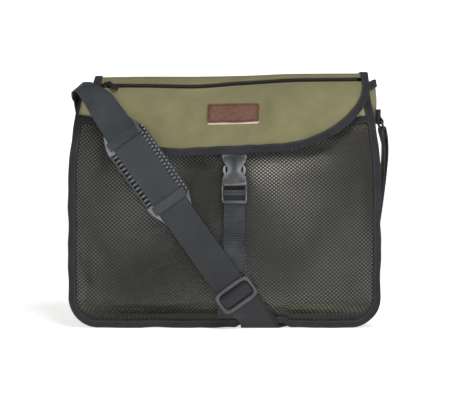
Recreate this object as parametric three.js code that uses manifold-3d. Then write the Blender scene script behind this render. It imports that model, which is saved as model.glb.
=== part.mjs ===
// Game bag: an olive canvas body with a net pocket over its front, a buckled flap with a zip,
// bound seams, and a webbing shoulder strap that is laid across the front and round the back.
// Millimetres. +X is right seen from the front, +Y goes to the back, +Z is up, and it stands on z = 0.
import * as THREE from "three";
import { mergeVertices } from "three/addons/utils/BufferGeometryUtils.js";
import Module from "manifold-3d";

const wasm = await Module();
wasm.setup();

// Driving dimensions of the cloth body
const CLOTH = 1.2; // canvas wall
const NET = 1.0; // net wall
const LAYER_GAP = 0.25; // between the layers of a seam
const SEAM_BOTTOM = 10; // height of the bottom seams: the bound edges below them stand on the floor
const SEAM_TOP = 286; // top of the side seams
const POCKET_TOP = 253; // top of the net pocket at its sides
const POCKET_SAG = 12; // how far its top edge hangs lower in the middle
const FRONT_SAG = 8; // the same for the front panel
const CORNER_RADIUS = 28; // bottom corners, at the seam

const NET_BULGE = 22;
const FRONT_BULGE = 13;
const BACK_BULGE = 5;
const GUSSET_SAG = 3; // the bottom hangs this far below its seams

// Binding: tape folded round an edge
const TAPE = 1.0; // one thickness of tape
const BINDING_WIDTH = 9.4;
const BINDING_CLEAR = 0.35; // tape to the cloth that it covers
const FLANGE = SEAM_BOTTOM - TAPE - BINDING_CLEAR; // seam allowance inside the binding

// Webbing
const WEBBING = 1.4;
const STRAP_WIDTH = 37;
const CLOSURE_WIDTH = 25;
const WEBBING_GAP = 0.45; // between two layers that lie on each other

// Flap, measured on the cover that runs from the back seam over the top
const FLAP_CENTRE = 8.4;
const FLAP_HALF_WIDTH = 164;
const FLAP_CORNER = 0.63; // share of the half width that the round corner takes
const FLAP_CORNER_START = 0.07; // share of the length above the round corner
const FLAP_CORNER_POWER = 1.8; // 2 would be an ellipse
const ZIP_GAP = 2.7; // half the slot that the zip shows in, down the cover
const ZIP_TAPE_REACH = 6; // how far the zip's tape goes under the cloth

// Grid steps
const COLUMNS = 16;
const CORNER_STEPS = 4;
const LOWER_STEPS = 6;
const UPPER_STEPS = 2;
const CURVE_STEPS = 5; // on the rounded outlines of the plastic pieces

// The body's width and depth by height: half width at the seam, and how far each seam is from y = 0
const BODY = [
  { z: 0, half: 177.5, front: 42.5, back: 42.5 },
  { z: 120, half: 177.5, front: 42, back: 42 },
  { z: 190, half: 177, front: 36.5, back: 37 },
  { z: 226, half: 173.5, front: 30.5, back: 32 },
  { z: 250, half: 170.5, front: 24.5, back: 28 },
  { z: 274, half: 166.5, front: 17, back: 22.5 },
  { z: 286, half: 164.5, front: 13.5, back: 20 },
];

// How full each panel is at a height, as a share of its bulge
const FULLNESS = [
  { z: 10, net: 0, front: 0, back: 0 },
  { z: 18, net: 0.3, front: 0.22, back: 0.1 },
  { z: 30, net: 0.6, front: 0.5, back: 0.3 },
  { z: 60, net: 0.9, front: 0.88, back: 0.7 },
  { z: 110, net: 1, front: 1, back: 1 },
  { z: 160, net: 0.95, front: 0.9, back: 1 },
  { z: 215, net: 0.8, front: 0.5, back: 0.7 },
  { z: 253, net: 0.58, front: 0.08, back: 0.35 },
  { z: 286, net: 0.2, front: 0, back: 0 },
];

// How far the gusset bows out between its seams, on each side of the bag
const GUSSET_BOW = [
  { z: 10, left: 3, right: 3 },
  { z: 150, left: 3, right: 4 },
  { z: 230, left: 4, right: 10.5 },
  { z: 250, left: 4, right: 13.5 },
  { z: 270, left: 4, right: 18 },
  { z: 286, left: 4, right: 19 },
];

// Section of the cover from the back seam over the top and down the flap: s is the place along it,
// drop the height below the fold, and the last two columns its y at the middle and at the sides
const COVER = [
  { s: -18, drop: 10, middle: 18.5, side: 18.5 },
  { s: -9, drop: 3, middle: 11, side: 11 },
  { s: 0, drop: 0, middle: 0, side: 0 },
  { s: 5, drop: 5, middle: -10, side: -10 },
  { s: 10, drop: 10, middle: -17, side: -16.5 },
  { s: 18, drop: 18, middle: -25.5, side: -24 },
  { s: 30, drop: 30, middle: -34.5, side: -30.5 },
  { s: 50, drop: 50, middle: -46, side: -37.5 },
  { s: 70, drop: 70, middle: -55.5, side: -43.5 },
  { s: 100, drop: 100, middle: -66.5, side: -50 },
];

// The fold's height, the zip's drop below it and the flap's lower edge across the bag
const TOP_LINE = [
  { x: -165, fold: 300.5, zip: 10.5, hem: 202.5 },
  { x: -90, fold: 301.5, zip: 11.5, hem: 206 },
  { x: -40, fold: 301.5, zip: 12.5, hem: 208.5 },
  { x: 20, fold: 302.5, zip: 9.5, hem: 211.5 },
  { x: 90, fold: 305, zip: 8, hem: 215 },
  { x: 180, fold: 305.5, zip: 7.5, hem: 219 },
];

// Where the strap crosses below the bag, and how the bottom gives way to it
const STRAP_CROSSING = 41; // x of its middle under the front seam
const STRAP_SLANT = 0.7; // x per y on its way to the back
const STRAP_DENT = 5; // lift of the bottom over it
const DENT_FLAT = 30; // half width of the lifted stretch
const DENT_FADE = 34; // stretch on which it falls back to the floor
const DENT_DEPTH = 36; // nearer to a seam than this, all its layers are lifted alike

// Front line of the shoulder strap, its start and its direction, and how it presses on the flap
const LINE = { x: -154.5, z: 279, downX: 0.58, downZ: -0.8146 };
const STRAP_PRESS = 6.5; // how far the flap's lower part is pushed back under it
const PRESS_FLAT = 26; // half width of the pressed stretch
const PRESS_FADE = 45; // stretch on which the flap comes forward again

const clamp = (value, low, high) => Math.min(Math.max(value, low), high);
const mix = (a, b, share) => a + (b - a) * share;
const fade = (from, to, value) => THREE.MathUtils.smoothstep(value, from, to);
const spaced = (from, to, steps) => Array.from({ length: steps + 1 }, (_, i) => mix(from, to, i / steps));
const vector = (x, y, z) => new THREE.Vector3(x, y, z);

// A smooth curve through one column of a table, with no overshoot between its rows
function curve(table, along, gives) {
  const at = table.map((row) => row[along]);
  const value = table.map((row) => row[gives]);
  const slope = at.slice(1).map((end, i) => (value[i + 1] - value[i]) / (end - at[i]));
  const tangent = value.map((_, i) => {
    const before = slope[Math.max(i - 1, 0)];
    const after = slope[Math.min(i, slope.length - 1)];
    return before * after > 0 ? (2 * before * after) / (before + after) : 0;
  });
  return (where) => {
    const place = clamp(where, at[0], at[at.length - 1]);
    const i = Math.max(at.findLastIndex((start, k) => start <= place && k < slope.length), 0);
    const step = at[i + 1] - at[i];
    const k = (place - at[i]) / step;
    const rise = (1 - k) * (1 - k) * k * tangent[i] - k * k * (1 - k) * tangent[i + 1];
    return mix(value[i], value[i + 1], k * k * (3 - 2 * k)) + step * rise;
  };
}

const seamHalf = curve(BODY, "z", "half");
const frontDepth = curve(BODY, "z", "front");
const backDepth = curve(BODY, "z", "back");
const netFullness = curve(FULLNESS, "z", "net");
const frontFullness = curve(FULLNESS, "z", "front");
const backFullness = curve(FULLNESS, "z", "back");
const bowLeft = curve(GUSSET_BOW, "z", "left");
const bowRight = curve(GUSSET_BOW, "z", "right");
const coverDrop = curve(COVER, "s", "drop");
const coverMiddle = curve(COVER, "s", "middle");
const coverSide = curve(COVER, "s", "side");
const foldHeight = curve(TOP_LINE, "x", "fold");
const zipDrop = curve(TOP_LINE, "x", "zip");
const hemHeight = curve(TOP_LINE, "x", "hem");

// A pillow's share of its bulge across the bag: flat in the middle, falling off near the seams
const pillow = (u) => (1 - Math.min(u ** 4, 1)) ** 0.75;

// Half width of the seam's outline at a height, with the round bottom corners
function outlineHalf(z) {
  const below = SEAM_BOTTOM + CORNER_RADIUS - z;
  if (below <= 0) return seamHalf(z);
  return seamHalf(z) - CORNER_RADIUS + Math.sqrt(Math.max(CORNER_RADIUS ** 2 - below ** 2, 0));
}

// How far the bottom is lifted by the strap below it
function strapLift(x, y, z) {
  const depth = clamp(y, -DENT_DEPTH, DENT_DEPTH);
  const aside = Math.abs(x - STRAP_CROSSING - STRAP_SLANT * (depth + frontDepth(0)));
  return STRAP_DENT * (1 - fade(DENT_FLAT, DENT_FLAT + DENT_FADE, aside)) * (1 - fade(SEAM_BOTTOM, 60, z));
}

// Heights and columns of the panels, denser where they turn
const cornerLevels = spaced(0, Math.PI / 2, CORNER_STEPS).map(
  (angle) => SEAM_BOTTOM + CORNER_RADIUS * (1 - Math.cos(angle)),
);
const lowerLevels = spaced(SEAM_BOTTOM + CORNER_RADIUS, POCKET_TOP, LOWER_STEPS).slice(1);
const upperLevels = spaced(POCKET_TOP, SEAM_TOP, UPPER_STEPS).slice(1);
const POCKET_LEVELS = [...cornerLevels, ...lowerLevels];
const LEVELS = [...POCKET_LEVELS, ...upperLevels];
const ACROSS = spaced(-1, 1, COLUMNS).map((share) => Math.sin((share * Math.PI) / 2));

// A closed body from merged points and triangles, turned so that its faces point out
function closedBody(points, triangles) {
  let volume = 0;
  for (const [a, b, c] of triangles) {
    volume += points[a].dot(vector(0, 0, 0).crossVectors(points[b], points[c]));
  }
  const order = volume < 0 ? triangles.map(([a, b, c]) => [a, c, b]) : triangles;
  const geometry = new THREE.BufferGeometry();
  geometry.setAttribute("position", new THREE.Float32BufferAttribute(points.flatMap((p) => p.toArray()), 3));
  geometry.setIndex(order.flat());
  return geometry;
}

const halves = ([a, b, c, d]) => [
  [a, b, c],
  [a, c, d],
];

// A cloth wall: a surface of four-sided faces given half its thickness to either side, with closed rims
function thicken(points, faces, thickness) {
  const normals = points.map(() => vector(0, 0, 0));
  const edges = new Map();
  for (const face of faces) {
    const [a, b, c, d] = face.map((i) => points[i]);
    const turn = c.clone().sub(a).cross(d.clone().sub(b));
    face.forEach((i) => normals[i].add(turn));
    face.forEach((i, k) => edges.set(`${i} ${face[(k + 1) % 4]}`, [i, face[(k + 1) % 4]]));
  }
  normals.forEach((normal) => normal.setLength(thickness / 2));
  const count = points.length;
  const outside = points.map((p, i) => p.clone().add(normals[i]));
  const inside = points.map((p, i) => p.clone().sub(normals[i]));
  const triangles = faces.flatMap(halves);
  triangles.push(...faces.map((face) => face.map((i) => i + count).reverse()).flatMap(halves));
  for (const [a, b] of edges.values()) {
    if (!edges.has(`${b} ${a}`)) triangles.push(...halves([b, a, a + count, b + count]));
  }
  return closedBody([...outside, ...inside], triangles);
}

// The four-sided faces of a grid that is stored row after row
function gridFaces(rows, columns) {
  const faces = [];
  for (let r = 0; r < rows - 1; r += 1) {
    for (let c = 0; c < columns - 1; c += 1) {
      const first = r * columns + c;
      faces.push([first, first + 1, first + 1 + columns, first + columns]);
    }
  }
  return faces;
}

// A cloth wall on a grid of rows of points
const sheet = (rows, thickness) => thicken(rows.flat(), gridFaces(rows.length, rows[0].length), thickness);

// A closed section carried along stations: each station gives the section's points in order
function sweep(sections, flatSection) {
  const size = flatSection.length;
  const triangles = [];
  for (let i = 0; i < sections.length - 1; i += 1) {
    for (let j = 0; j < size; j += 1) {
      const next = (j + 1) % size;
      triangles.push(...halves([i * size + j, i * size + next, (i + 1) * size + next, (i + 1) * size + j]));
    }
  }
  const last = (sections.length - 1) * size;
  for (const [a, b, c] of THREE.ShapeUtils.triangulateShape(flatSection, [])) {
    triangles.push([a, c, b], [last + a, last + b, last + c]);
  }
  return closedBody(sections.flat(), triangles);
}

// A folded tape round an edge: each station has the edge's point, the direction back into the cloth
// and the direction through it, and `cover` is half the thickness that the tape closes on
function foldedTape(stations, width, cover) {
  const slot = cover + BINDING_CLEAR;
  const outer = slot + TAPE;
  const ahead = TAPE + BINDING_CLEAR;
  const section = [
    new THREE.Vector2(width - ahead, outer),
    new THREE.Vector2(-ahead, outer),
    new THREE.Vector2(-ahead, -outer),
    new THREE.Vector2(width - ahead, -outer),
    new THREE.Vector2(width - ahead, -slot),
    new THREE.Vector2(-BINDING_CLEAR, -slot),
    new THREE.Vector2(-BINDING_CLEAR, slot),
    new THREE.Vector2(width - ahead, slot),
  ];
  const sections = stations.map(({ edge, inward, through }) =>
    section.map((p) => edge.clone().addScaledVector(inward, p.x).addScaledVector(through, p.y)),
  );
  return sweep(sections, section);
}

// Booleans
function toSolid(geometry) {
  const bare = geometry.clone();
  bare.deleteAttribute("normal");
  bare.deleteAttribute("uv");
  const merged = mergeVertices(bare, 1e-4);
  const vertProperties = new Float32Array(merged.attributes.position.array);
  const triVerts = new Uint32Array(merged.index.array);
  return new wasm.Manifold(new wasm.Mesh({ numProp: 3, vertProperties, triVerts }));
}

function toGeometry(solid) {
  const mesh = solid.getMesh();
  const geometry = new THREE.BufferGeometry();
  geometry.setAttribute("position", new THREE.Float32BufferAttribute(mesh.vertProperties, mesh.numProp));
  geometry.setIndex(Array.from(mesh.triVerts));
  return geometry;
}

// Materials
const finish = (color, roughness, metalness = 0) =>
  new THREE.MeshStandardMaterial({ color, roughness, metalness });
const canvas = finish(0x83805f, 0.85);
const netting = finish(0x4a4946, 0.7);
const tape = finish(0x3a3a3d, 0.85);
const webbing = finish(0x46494c, 0.75);
const plastic = finish(0x4b4b4c, 0.45);
const rubber = finish(0x4e5254, 0.65);
const leather = finish(0x71584c, 0.55);
const nylon = finish(0x222225, 0.5);

const bag = new THREE.Group();
function piece(name, geometry, material, parent = bag) {
  const mesh = new THREE.Mesh(geometry, material);
  mesh.name = name;
  parent.add(mesh);
  return mesh;
}

// The seam: stations down the left side, round the bottom and up the right side
const seamXZ = [
  ...[...LEVELS].reverse().map((z) => ({ x: -outlineHalf(z), z })),
  ...ACROSS.slice(1, -1).map((u) => ({ x: u * outlineHalf(SEAM_BOTTOM), z: SEAM_BOTTOM })),
  ...LEVELS.map((z) => ({ x: outlineHalf(z), z })),
];
const seam = seamXZ.map((at, i) => {
  const before = seamXZ[Math.max(i - 1, 0)];
  const after = seamXZ[Math.min(i + 1, seamXZ.length - 1)];
  const along = new THREE.Vector2(after.x - before.x, after.z - before.z).normalize();
  const flat = at.z === SEAM_BOTTOM;
  return { ...at, nx: flat ? 0 : along.y, nz: flat ? -1 : -along.x };
});

// A point that is `out` beyond the seam in its own plane, at depth y
const beyondSeam = ({ x, z, nx, nz }, out, y) =>
  vector(x + nx * out, y, z + nz * out + strapLift(x, y, z));

// A panel inside the seam with its allowance around it: rows of heights, and its depth across them
function panel(levels, depth, sag) {
  const top = levels[levels.length - 1];
  const points = levels.flatMap((z) =>
    ACROSS.map((u) => {
      const x = u * outlineHalf(z);
      const y = depth(u, z);
      return vector(x, y, z + strapLift(x, y, z) - sag * (1 - u * u) * fade(POCKET_TOP / 2, top, z));
    }),
  );
  const columns = ACROSS.length;
  const faces = gridFaces(levels.length, columns);
  const rim = [
    ...levels.map((_, r) => (levels.length - 1 - r) * columns),
    ...ACROSS.slice(1, -1).map((_, c) => c + 1),
    ...levels.map((_, r) => r * columns + columns - 1),
  ];
  const stations = seam.filter(({ z }) => z <= top);
  const firstTip = points.length;
  points.push(...stations.map((station, i) => beyondSeam(station, FLANGE, points[rim[i]].y)));
  for (let i = 0; i < rim.length - 1; i += 1) {
    faces.push([rim[i], firstTip + i, firstTip + i + 1, rim[i + 1]]);
  }
  return { points, faces };
}

// Layers of the front seam from the front: net, front panel, gusset
const netLayer = -(NET / 2 + CLOTH / 2 + LAYER_GAP);
const gussetFrontLayer = CLOTH + LAYER_GAP;
const frontStack = CLOTH / 2 + gussetFrontLayer;
// Layers of the back seam: gusset, back panel
const backLayer = (CLOTH + LAYER_GAP) / 2;
const backStack = backLayer + CLOTH / 2;

const frontY = (u, z) => -frontDepth(z) - FRONT_BULGE * frontFullness(z) * pillow(u);
const netY = (u, z) => -frontDepth(z) + netLayer - NET_BULGE * netFullness(z) * pillow(u);
const backY = (u, z) => backDepth(z) + backLayer + BACK_BULGE * backFullness(z) * pillow(u);

// Front panel and net pocket
const front = panel(LEVELS, frontY, FRONT_SAG);
piece("front_panel", thicken(front.points, front.faces, CLOTH), canvas);
const net = panel(POCKET_LEVELS, netY, POCKET_SAG);
piece("net_pocket", thicken(net.points, net.faces, NET), netting);

// Gusset: a strip from the front seam to the back seam, its edges turned out into both
const GUSSET_TOP_RISE = { left: 0, right: 8 }; // how much higher its open tops are in the middle
const GUSSET_STRAIGHT = 3.8; // it runs straight back this far behind a binding before it bows out
function gussetRow(station) {
  const { x, z } = station;
  const yFront = -frontDepth(z) + gussetFrontLayer;
  const yBack = backDepth(z) - backLayer;
  const straight = GUSSET_STRAIGHT / (yBack - yFront);
  const side = x < 0 ? bowLeft(z) : bowRight(z);
  const rise = (x < 0 ? GUSSET_TOP_RISE.left : GUSSET_TOP_RISE.right) * fade(POCKET_TOP, SEAM_TOP, z);
  const bow = z <= SEAM_BOTTOM ? GUSSET_SAG : side;
  const web = [0, straight, 0.25, 0.5, 0.75, 1 - straight, 1].map((share) => {
    const swell = Math.max(1 - ((2 * share - 1) / (1 - 2 * straight)) ** 2, 0);
    const point = beyondSeam(station, bow * swell, mix(yFront, yBack, share));
    point.z += rise * swell;
    return point;
  });
  return [beyondSeam(station, FLANGE, yFront), ...web, beyondSeam(station, FLANGE, yBack)];
}
const gussetRows = seam.map(gussetRow);
piece("gusset", sheet(gussetRows, CLOTH), canvas);

// Bindings of the two body seams
function seamTape(depth, cover) {
  const stations = seam.map((station) => ({
    edge: beyondSeam(station, FLANGE, depth(station.z)),
    inward: vector(-station.nx, 0, -station.nz),
    through: vector(0, 1, 0),
  }));
  return foldedTape(stations, BINDING_WIDTH, cover);
}
piece("front_binding", seamTape((z) => -frontDepth(z), frontStack), tape);
piece("back_binding", seamTape((z) => backDepth(z), backStack), tape);

// Binding along the top of the net pocket
const columns = ACROSS.length;
const netRow = (r) => net.points.slice(r * columns, (r + 1) * columns);
const netTop = netRow(POCKET_LEVELS.length - 1);
const netBelow = netRow(POCKET_LEVELS.length - 2);
const tapeAlong = (edges, insides) =>
  edges.map((edge, i) => {
    const inward = insides[i].clone().sub(edge).normalize();
    const along = edges[Math.min(i + 1, edges.length - 1)].clone().sub(edges[Math.max(i - 1, 0)]);
    return { edge, inward, through: inward.clone().cross(along).normalize() };
  });
const moveOut = (stations, distance) =>
  stations.map((station) => ({
    ...station,
    edge: station.edge.clone().addScaledVector(station.inward, -distance),
  }));
const pocketStations = tapeAlong(netTop, netBelow).slice(1, -1);
piece("pocket_binding", foldedTape(pocketStations, BINDING_WIDTH, NET / 2), tape);

// Bindings of the gusset's two open tops, between its seams
const GUSSET_TAPE_CLEAR = 0.6; // room for the bow of the edge inside the fold
const GUSSET_TAPE_INSET = 0.45; // how far its ends stop short of the seams, as a share of the first step
const webOnly = (row) => row.slice(2, -2);
const gussetEnds = {
  gusset_binding_left: [gussetRows[0], gussetRows[1]],
  gusset_binding_right: [gussetRows[gussetRows.length - 1], gussetRows[gussetRows.length - 2]],
};
for (const [name, [edge, inside]] of Object.entries(gussetEnds)) {
  const stations = tapeAlong(webOnly(edge), webOnly(inside));
  const ends = [stations[0], stations[stations.length - 1]];
  const inset = ends.map((end, k) => {
    const next = k === 0 ? stations[1] : stations[stations.length - 2];
    return {
      edge: end.edge.clone().lerp(next.edge, GUSSET_TAPE_INSET),
      inward: end.inward.clone().lerp(next.inward, GUSSET_TAPE_INSET),
      through: end.through.clone().lerp(next.through, GUSSET_TAPE_INSET),
    };
  });
  const bound = [inset[0], ...stations.slice(1, -1), inset[1]];
  const clear = moveOut(bound, GUSSET_TAPE_CLEAR);
  piece(name, foldedTape(clear, BINDING_WIDTH, CLOTH / 2 + GUSSET_TAPE_CLEAR), tape);
}

// The cover: a point at x across and s along the section, raised off the cloth's middle by `lift`
function cover(x, s, lift = 0) {
  const at = (px, ps) => {
    const share = pillow((px - FLAP_CENTRE) / (FLAP_HALF_WIDTH + BINDING_WIDTH));
    const z = foldHeight(px) - coverDrop(ps);
    const aside = Math.abs((px - LINE.x) * LINE.downZ - (z - LINE.z) * LINE.downX);
    const press = STRAP_PRESS * (1 - fade(PRESS_FLAT, PRESS_FLAT + PRESS_FADE, aside)) * fade(30, 80, ps);
    return vector(px, mix(coverSide(ps), coverMiddle(ps), share) + press, z);
  };
  if (lift === 0) return at(x, s);
  const normal = coverNormal(x, s, at);
  return at(x, s).addScaledVector(normal, lift);
}
function coverNormal(x, s, at = cover) {
  const step = 0.5;
  const acrossWay = at(x + step, s).sub(at(x - step, s));
  const downWay = at(x, s + step).sub(at(x, s - step));
  return downWay.cross(acrossWay).normalize();
}

// Back panel: up the back inside the seam, then over the top to the zip
const back = panel(LEVELS, backY, 0);
const COVER_ROWS = [-18, -9, 0];
const TOP_EDGE_RUN = [0.35, 0.75, 1]; // how far its edges have come from the seam to the flap's width
const flapX = (u) => FLAP_CENTRE + u * FLAP_HALF_WIDTH;
const coverRows = COVER_ROWS.map((s, i) =>
  ACROSS.map((u) => cover(mix(u * outlineHalf(SEAM_TOP), flapX(u), TOP_EDGE_RUN[i]), s)),
);
coverRows.push(ACROSS.map((u) => cover(flapX(u), zipDrop(flapX(u)) - ZIP_TAPE_REACH)));
coverRows.push(ACROSS.map((u) => cover(flapX(u), zipDrop(flapX(u)) - ZIP_GAP)));
const backTopRow = (LEVELS.length - 1) * columns;
const coverStart = back.points.length;
back.points.push(...coverRows.flat());
const joinRow = (from, to) =>
  ACROSS.slice(1).map((_, c) => [from + c, from + c + 1, to + c + 1, to + c]);
back.faces.push(...joinRow(backTopRow, coverStart));
coverRows.slice(1).forEach((_, r) => {
  back.faces.push(...joinRow(coverStart + r * columns, coverStart + (r + 1) * columns));
});
piece("back_panel", thicken(back.points, back.faces, CLOTH), canvas);

// Flap: from the zip down to its rounded lower edge
const FLAP_ROWS = [0, 0.055, 0.18, 0.34, 0.52, 0.69, 0.83, 0.94, 1];
function flapHalf(t) {
  const k = clamp((t - FLAP_CORNER_START) / (1 - FLAP_CORNER_START), 0, 1);
  const round = (1 - k ** FLAP_CORNER_POWER) ** (1 / FLAP_CORNER_POWER);
  return FLAP_HALF_WIDTH * (1 - FLAP_CORNER * (1 - round));
}
function flapPoint(u, t) {
  const x = FLAP_CENTRE + u * flapHalf(t);
  return cover(x, mix(zipDrop(x) + ZIP_GAP, foldHeight(x) - hemHeight(x), t));
}
const flapRows = FLAP_ROWS.map((t) => ACROSS.map((u) => flapPoint(u, t)));
piece("flap", sheet(flapRows, CLOTH), canvas);

// Binding round the flap: from the back seam over the top, round the flap and back again
const FLAP_TAPE_CLEAR = 0.42; // room for the bow of the edge inside the fold
const sideEdge = (u) => [
  ...coverRows.map((row) => row[u < 0 ? 0 : columns - 1]),
  ...FLAP_ROWS.slice(0, -1).map((t) => flapPoint(u, t)),
];
const INSET = 0.94; // a place on the cloth a little inside its edge, as a share across
const insideEdge = (u) => [
  ...coverRows.map((row) => row[u < 0 ? 1 : columns - 2]),
  ...FLAP_ROWS.slice(0, -1).map((t) => flapPoint(u * INSET, t * INSET)),
];
const hemEdge = ACROSS.map((u) => flapPoint(u, 1));
const hemInside = ACROSS.map((u) => flapPoint(u * INSET, INSET - 0.03));
const flapEdge = [...sideEdge(-1), ...hemEdge, ...sideEdge(1).reverse()];
const flapInside = [...insideEdge(-1), ...hemInside, ...insideEdge(1).reverse()];
const flapStations = moveOut(tapeAlong(flapEdge, flapInside), 2 * FLAP_TAPE_CLEAR);
piece("flap_binding", foldedTape(flapStations, BINDING_WIDTH, CLOTH / 2 + FLAP_TAPE_CLEAR), tape);

// Zip: its tape lies under the two cloth edges, its coil shows in the slot between them
const ZIP_TAPE = 0.9;
const ZIP_END_CLEAR = 12; // its ends stop at the flap's binding
const COIL_WIDTH = 3;
const COIL_HEIGHT = 1.4;
const tapeDepth = -(CLOTH / 2 + 0.3 + ZIP_TAPE / 2);
const zipHalf = FLAP_HALF_WIDTH - ZIP_END_CLEAR;
const zipX = spaced(FLAP_CENTRE - zipHalf, FLAP_CENTRE + zipHalf, COLUMNS);
const zipRows = [-1, -0.4, 0, 0.4, 1].map((share) =>
  zipX.map((x) => cover(x, zipDrop(x) + share * ZIP_TAPE_REACH, tapeDepth)),
);
piece("zip_tape", sheet(zipRows, ZIP_TAPE), nylon);
const coilBase = tapeDepth + ZIP_TAPE / 2 + 0.3;
const coilSection = [
  new THREE.Vector2(-COIL_WIDTH / 2, coilBase),
  new THREE.Vector2(COIL_WIDTH / 2, coilBase),
  new THREE.Vector2(COIL_WIDTH / 3, coilBase + COIL_HEIGHT),
  new THREE.Vector2(-COIL_WIDTH / 3, coilBase + COIL_HEIGHT),
];
const zipFrame = (x) => {
  const point = cover(x, zipDrop(x));
  const normal = coverNormal(x, zipDrop(x));
  const along = cover(x + 1, zipDrop(x + 1)).sub(cover(x - 1, zipDrop(x - 1))).normalize();
  return { point, normal, along, up: normal.clone().cross(along).normalize() };
};
const coilSections = zipX.map((x) => {
  const { point, normal, up } = zipFrame(x);
  return coilSection.map((p) => point.clone().addScaledVector(up, p.x).addScaledVector(normal, p.y));
});
piece("zip_coil", sweep(coilSections, coilSection), nylon);

// Blank leather label, glued and sewn flat on the flap
const LABEL = { x: 10.4, z: 256, halfWidth: 30.5, halfHeight: 11.5, thickness: 1.6 };
const labelLift = CLOTH / 2 + 0.3 + LABEL.thickness / 2;
const labelRows = spaced(LABEL.z + LABEL.halfHeight, LABEL.z - LABEL.halfHeight, 3).map((z) =>
  spaced(LABEL.x - LABEL.halfWidth, LABEL.x + LABEL.halfWidth, 6).map((x) =>
    cover(x, foldHeight(LABEL.x) - z, labelLift),
  ),
);
piece("leather_label", sheet(labelRows, LABEL.thickness), leather);

// A flat ribbon along points, its width in one direction
function flatRibbon(points, wide, width) {
  const section = rectangle(width, WEBBING);
  const sections = points.map((point, i) => {
    const along = points[Math.min(i + 1, points.length - 1)].clone().sub(points[Math.max(i - 1, 0)]);
    const face = along.cross(wide).normalize();
    return section.map((p) => point.clone().addScaledVector(wide, p.x).addScaledVector(face, p.y));
  });
  return sweep(sections, section);
}
function rectangle(width, height) {
  const corners = [
    [-1, -1],
    [1, -1],
    [1, 1],
    [-1, 1],
  ];
  return corners.map(([x, y]) => new THREE.Vector2((x * width) / 2, (y * height) / 2));
}

const extrude = (shape, depth) =>
  new THREE.ExtrudeGeometry(shape, { depth, bevelEnabled: false, curveSegments: CURVE_STEPS });

// A flat plate of an outline in x and z, from y = back towards the front
function plate(shape, back, thickness) {
  return extrude(shape, thickness).rotateX(Math.PI / 2).translate(0, back, 0);
}
const block = (halfWidth, low, high, back, thickness) => {
  const shape = new THREE.Shape();
  shape.moveTo(-halfWidth, low).lineTo(halfWidth, low).lineTo(halfWidth, high).lineTo(-halfWidth, high);
  return plate(shape, back, thickness);
};
const union = (geometries) => toGeometry(geometries.map(toSolid).reduce((all, solid) => all.add(solid)));
const cut = (geometry, tools) =>
  toGeometry(tools.map(toSolid).reduce((all, solid) => all.subtract(solid), toSolid(geometry)));
function roundedRectangle(halfWidth, halfHeight, radius, path = new THREE.Shape()) {
  const x = halfWidth - radius;
  const y = halfHeight - radius;
  path.moveTo(-x, -halfHeight).lineTo(x, -halfHeight).absarc(x, -y, radius, -Math.PI / 2, 0);
  path.lineTo(halfWidth, y).absarc(x, y, radius, 0, Math.PI / 2).lineTo(-x, halfHeight);
  path.absarc(-x, y, radius, Math.PI / 2, Math.PI).lineTo(-halfWidth, -y);
  return path.absarc(-x, -y, radius, Math.PI, 1.5 * Math.PI);
}

// Side-release buckle, fastened, leaning on the front: z = 0 of its group is the line between its halves
const BUCKLE = { x: 11.5, y: -65.4, z: 172.6, lean: -9 };
const buckle = new THREE.Group();
buckle.position.set(BUCKLE.x, BUCKLE.y, BUCKLE.z);
buckle.rotation.x = THREE.MathUtils.degToRad(BUCKLE.lean);
bag.add(buckle);
const SOCKET = { thickness: 7.2, cavity: 3.6, cavityHalf: 12.2, cavityTop: 27, top: 35.5 };
const SOCKET_OUTLINE = [
  { z: 0.3, half: 14.2 },
  { z: 5, half: 13.8 },
  { z: 9.5, half: 12.9 },
  { z: 12.5, half: 11.2 },
  { z: 14.5, half: 8.8 },
  { z: 17, half: 7.9 },
  { z: 20.5, half: 8.7 },
  { z: 27.5, half: 12.6 },
  { z: 33, half: 14.4 },
  { z: 35.5, half: 14.7 },
];
const LUG = { half: 14, top: 45.2, bar: 2.7, slot: 4, back: 4.8, thickness: 2.6 };
const CLOSURE_SLOT_HALF = CLOSURE_WIDTH / 2 + 0.4;
const socketShape = new THREE.Shape([
  ...SOCKET_OUTLINE.map(({ z, half }) => new THREE.Vector2(half, z)),
  ...[...SOCKET_OUTLINE].reverse().map(({ z, half }) => new THREE.Vector2(-half, z)),
]);
const lugSlotTop = LUG.top - LUG.bar;
piece(
  "buckle_socket",
  cut(
    union([
      plate(socketShape, SOCKET.thickness / 2, SOCKET.thickness),
      block(LUG.half, SOCKET.top - 2, LUG.top, LUG.back, LUG.thickness),
    ]),
    [
      block(SOCKET.cavityHalf, -1, SOCKET.cavityTop, SOCKET.cavity / 2, SOCKET.cavity),
      block(CLOSURE_SLOT_HALF, lugSlotTop - LUG.slot, lugSlotTop, LUG.back + 1, LUG.thickness + 2),
    ],
  ),
  plastic,
  buckle,
);
const PLUG = { half: 14.7, top: -0.3, bottom: -21.5, corner: 1, cornerHeight: 4.5, thickness: 3 };
const PLUG_SLOTS = { top: -1.4, barHigh: -7.6, barLow: -11.2, foot: -18.6 };
const CORE = { half: 11.6, low: -1, high: 2.4 }; // root of the prongs inside the socket
const TONGUE = { half: 2.4, low: 2, high: 18 };
const ARM = [
  { x: 8.6, z: 0 },
  { x: 10.8, z: 0 },
  { x: 11.2, z: 11 },
  { x: 12.6, z: 14 },
  { x: 13.3, z: 17 },
  { x: 13.2, z: 20 },
  { x: 11, z: 23 },
  { x: 10, z: 23 },
  { x: 10.8, z: 20 },
  { x: 10.6, z: 16.5 },
  { x: 9.2, z: 11 },
];
const PRONG_CLEAR = 0.35; // prongs to the socket's inside
const armShape = (side) => new THREE.Shape(ARM.map(({ x, z }) => new THREE.Vector2(side * x, z)));
const frameShape = new THREE.Shape();
const cornerTop = PLUG.bottom + PLUG.cornerHeight;
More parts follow.
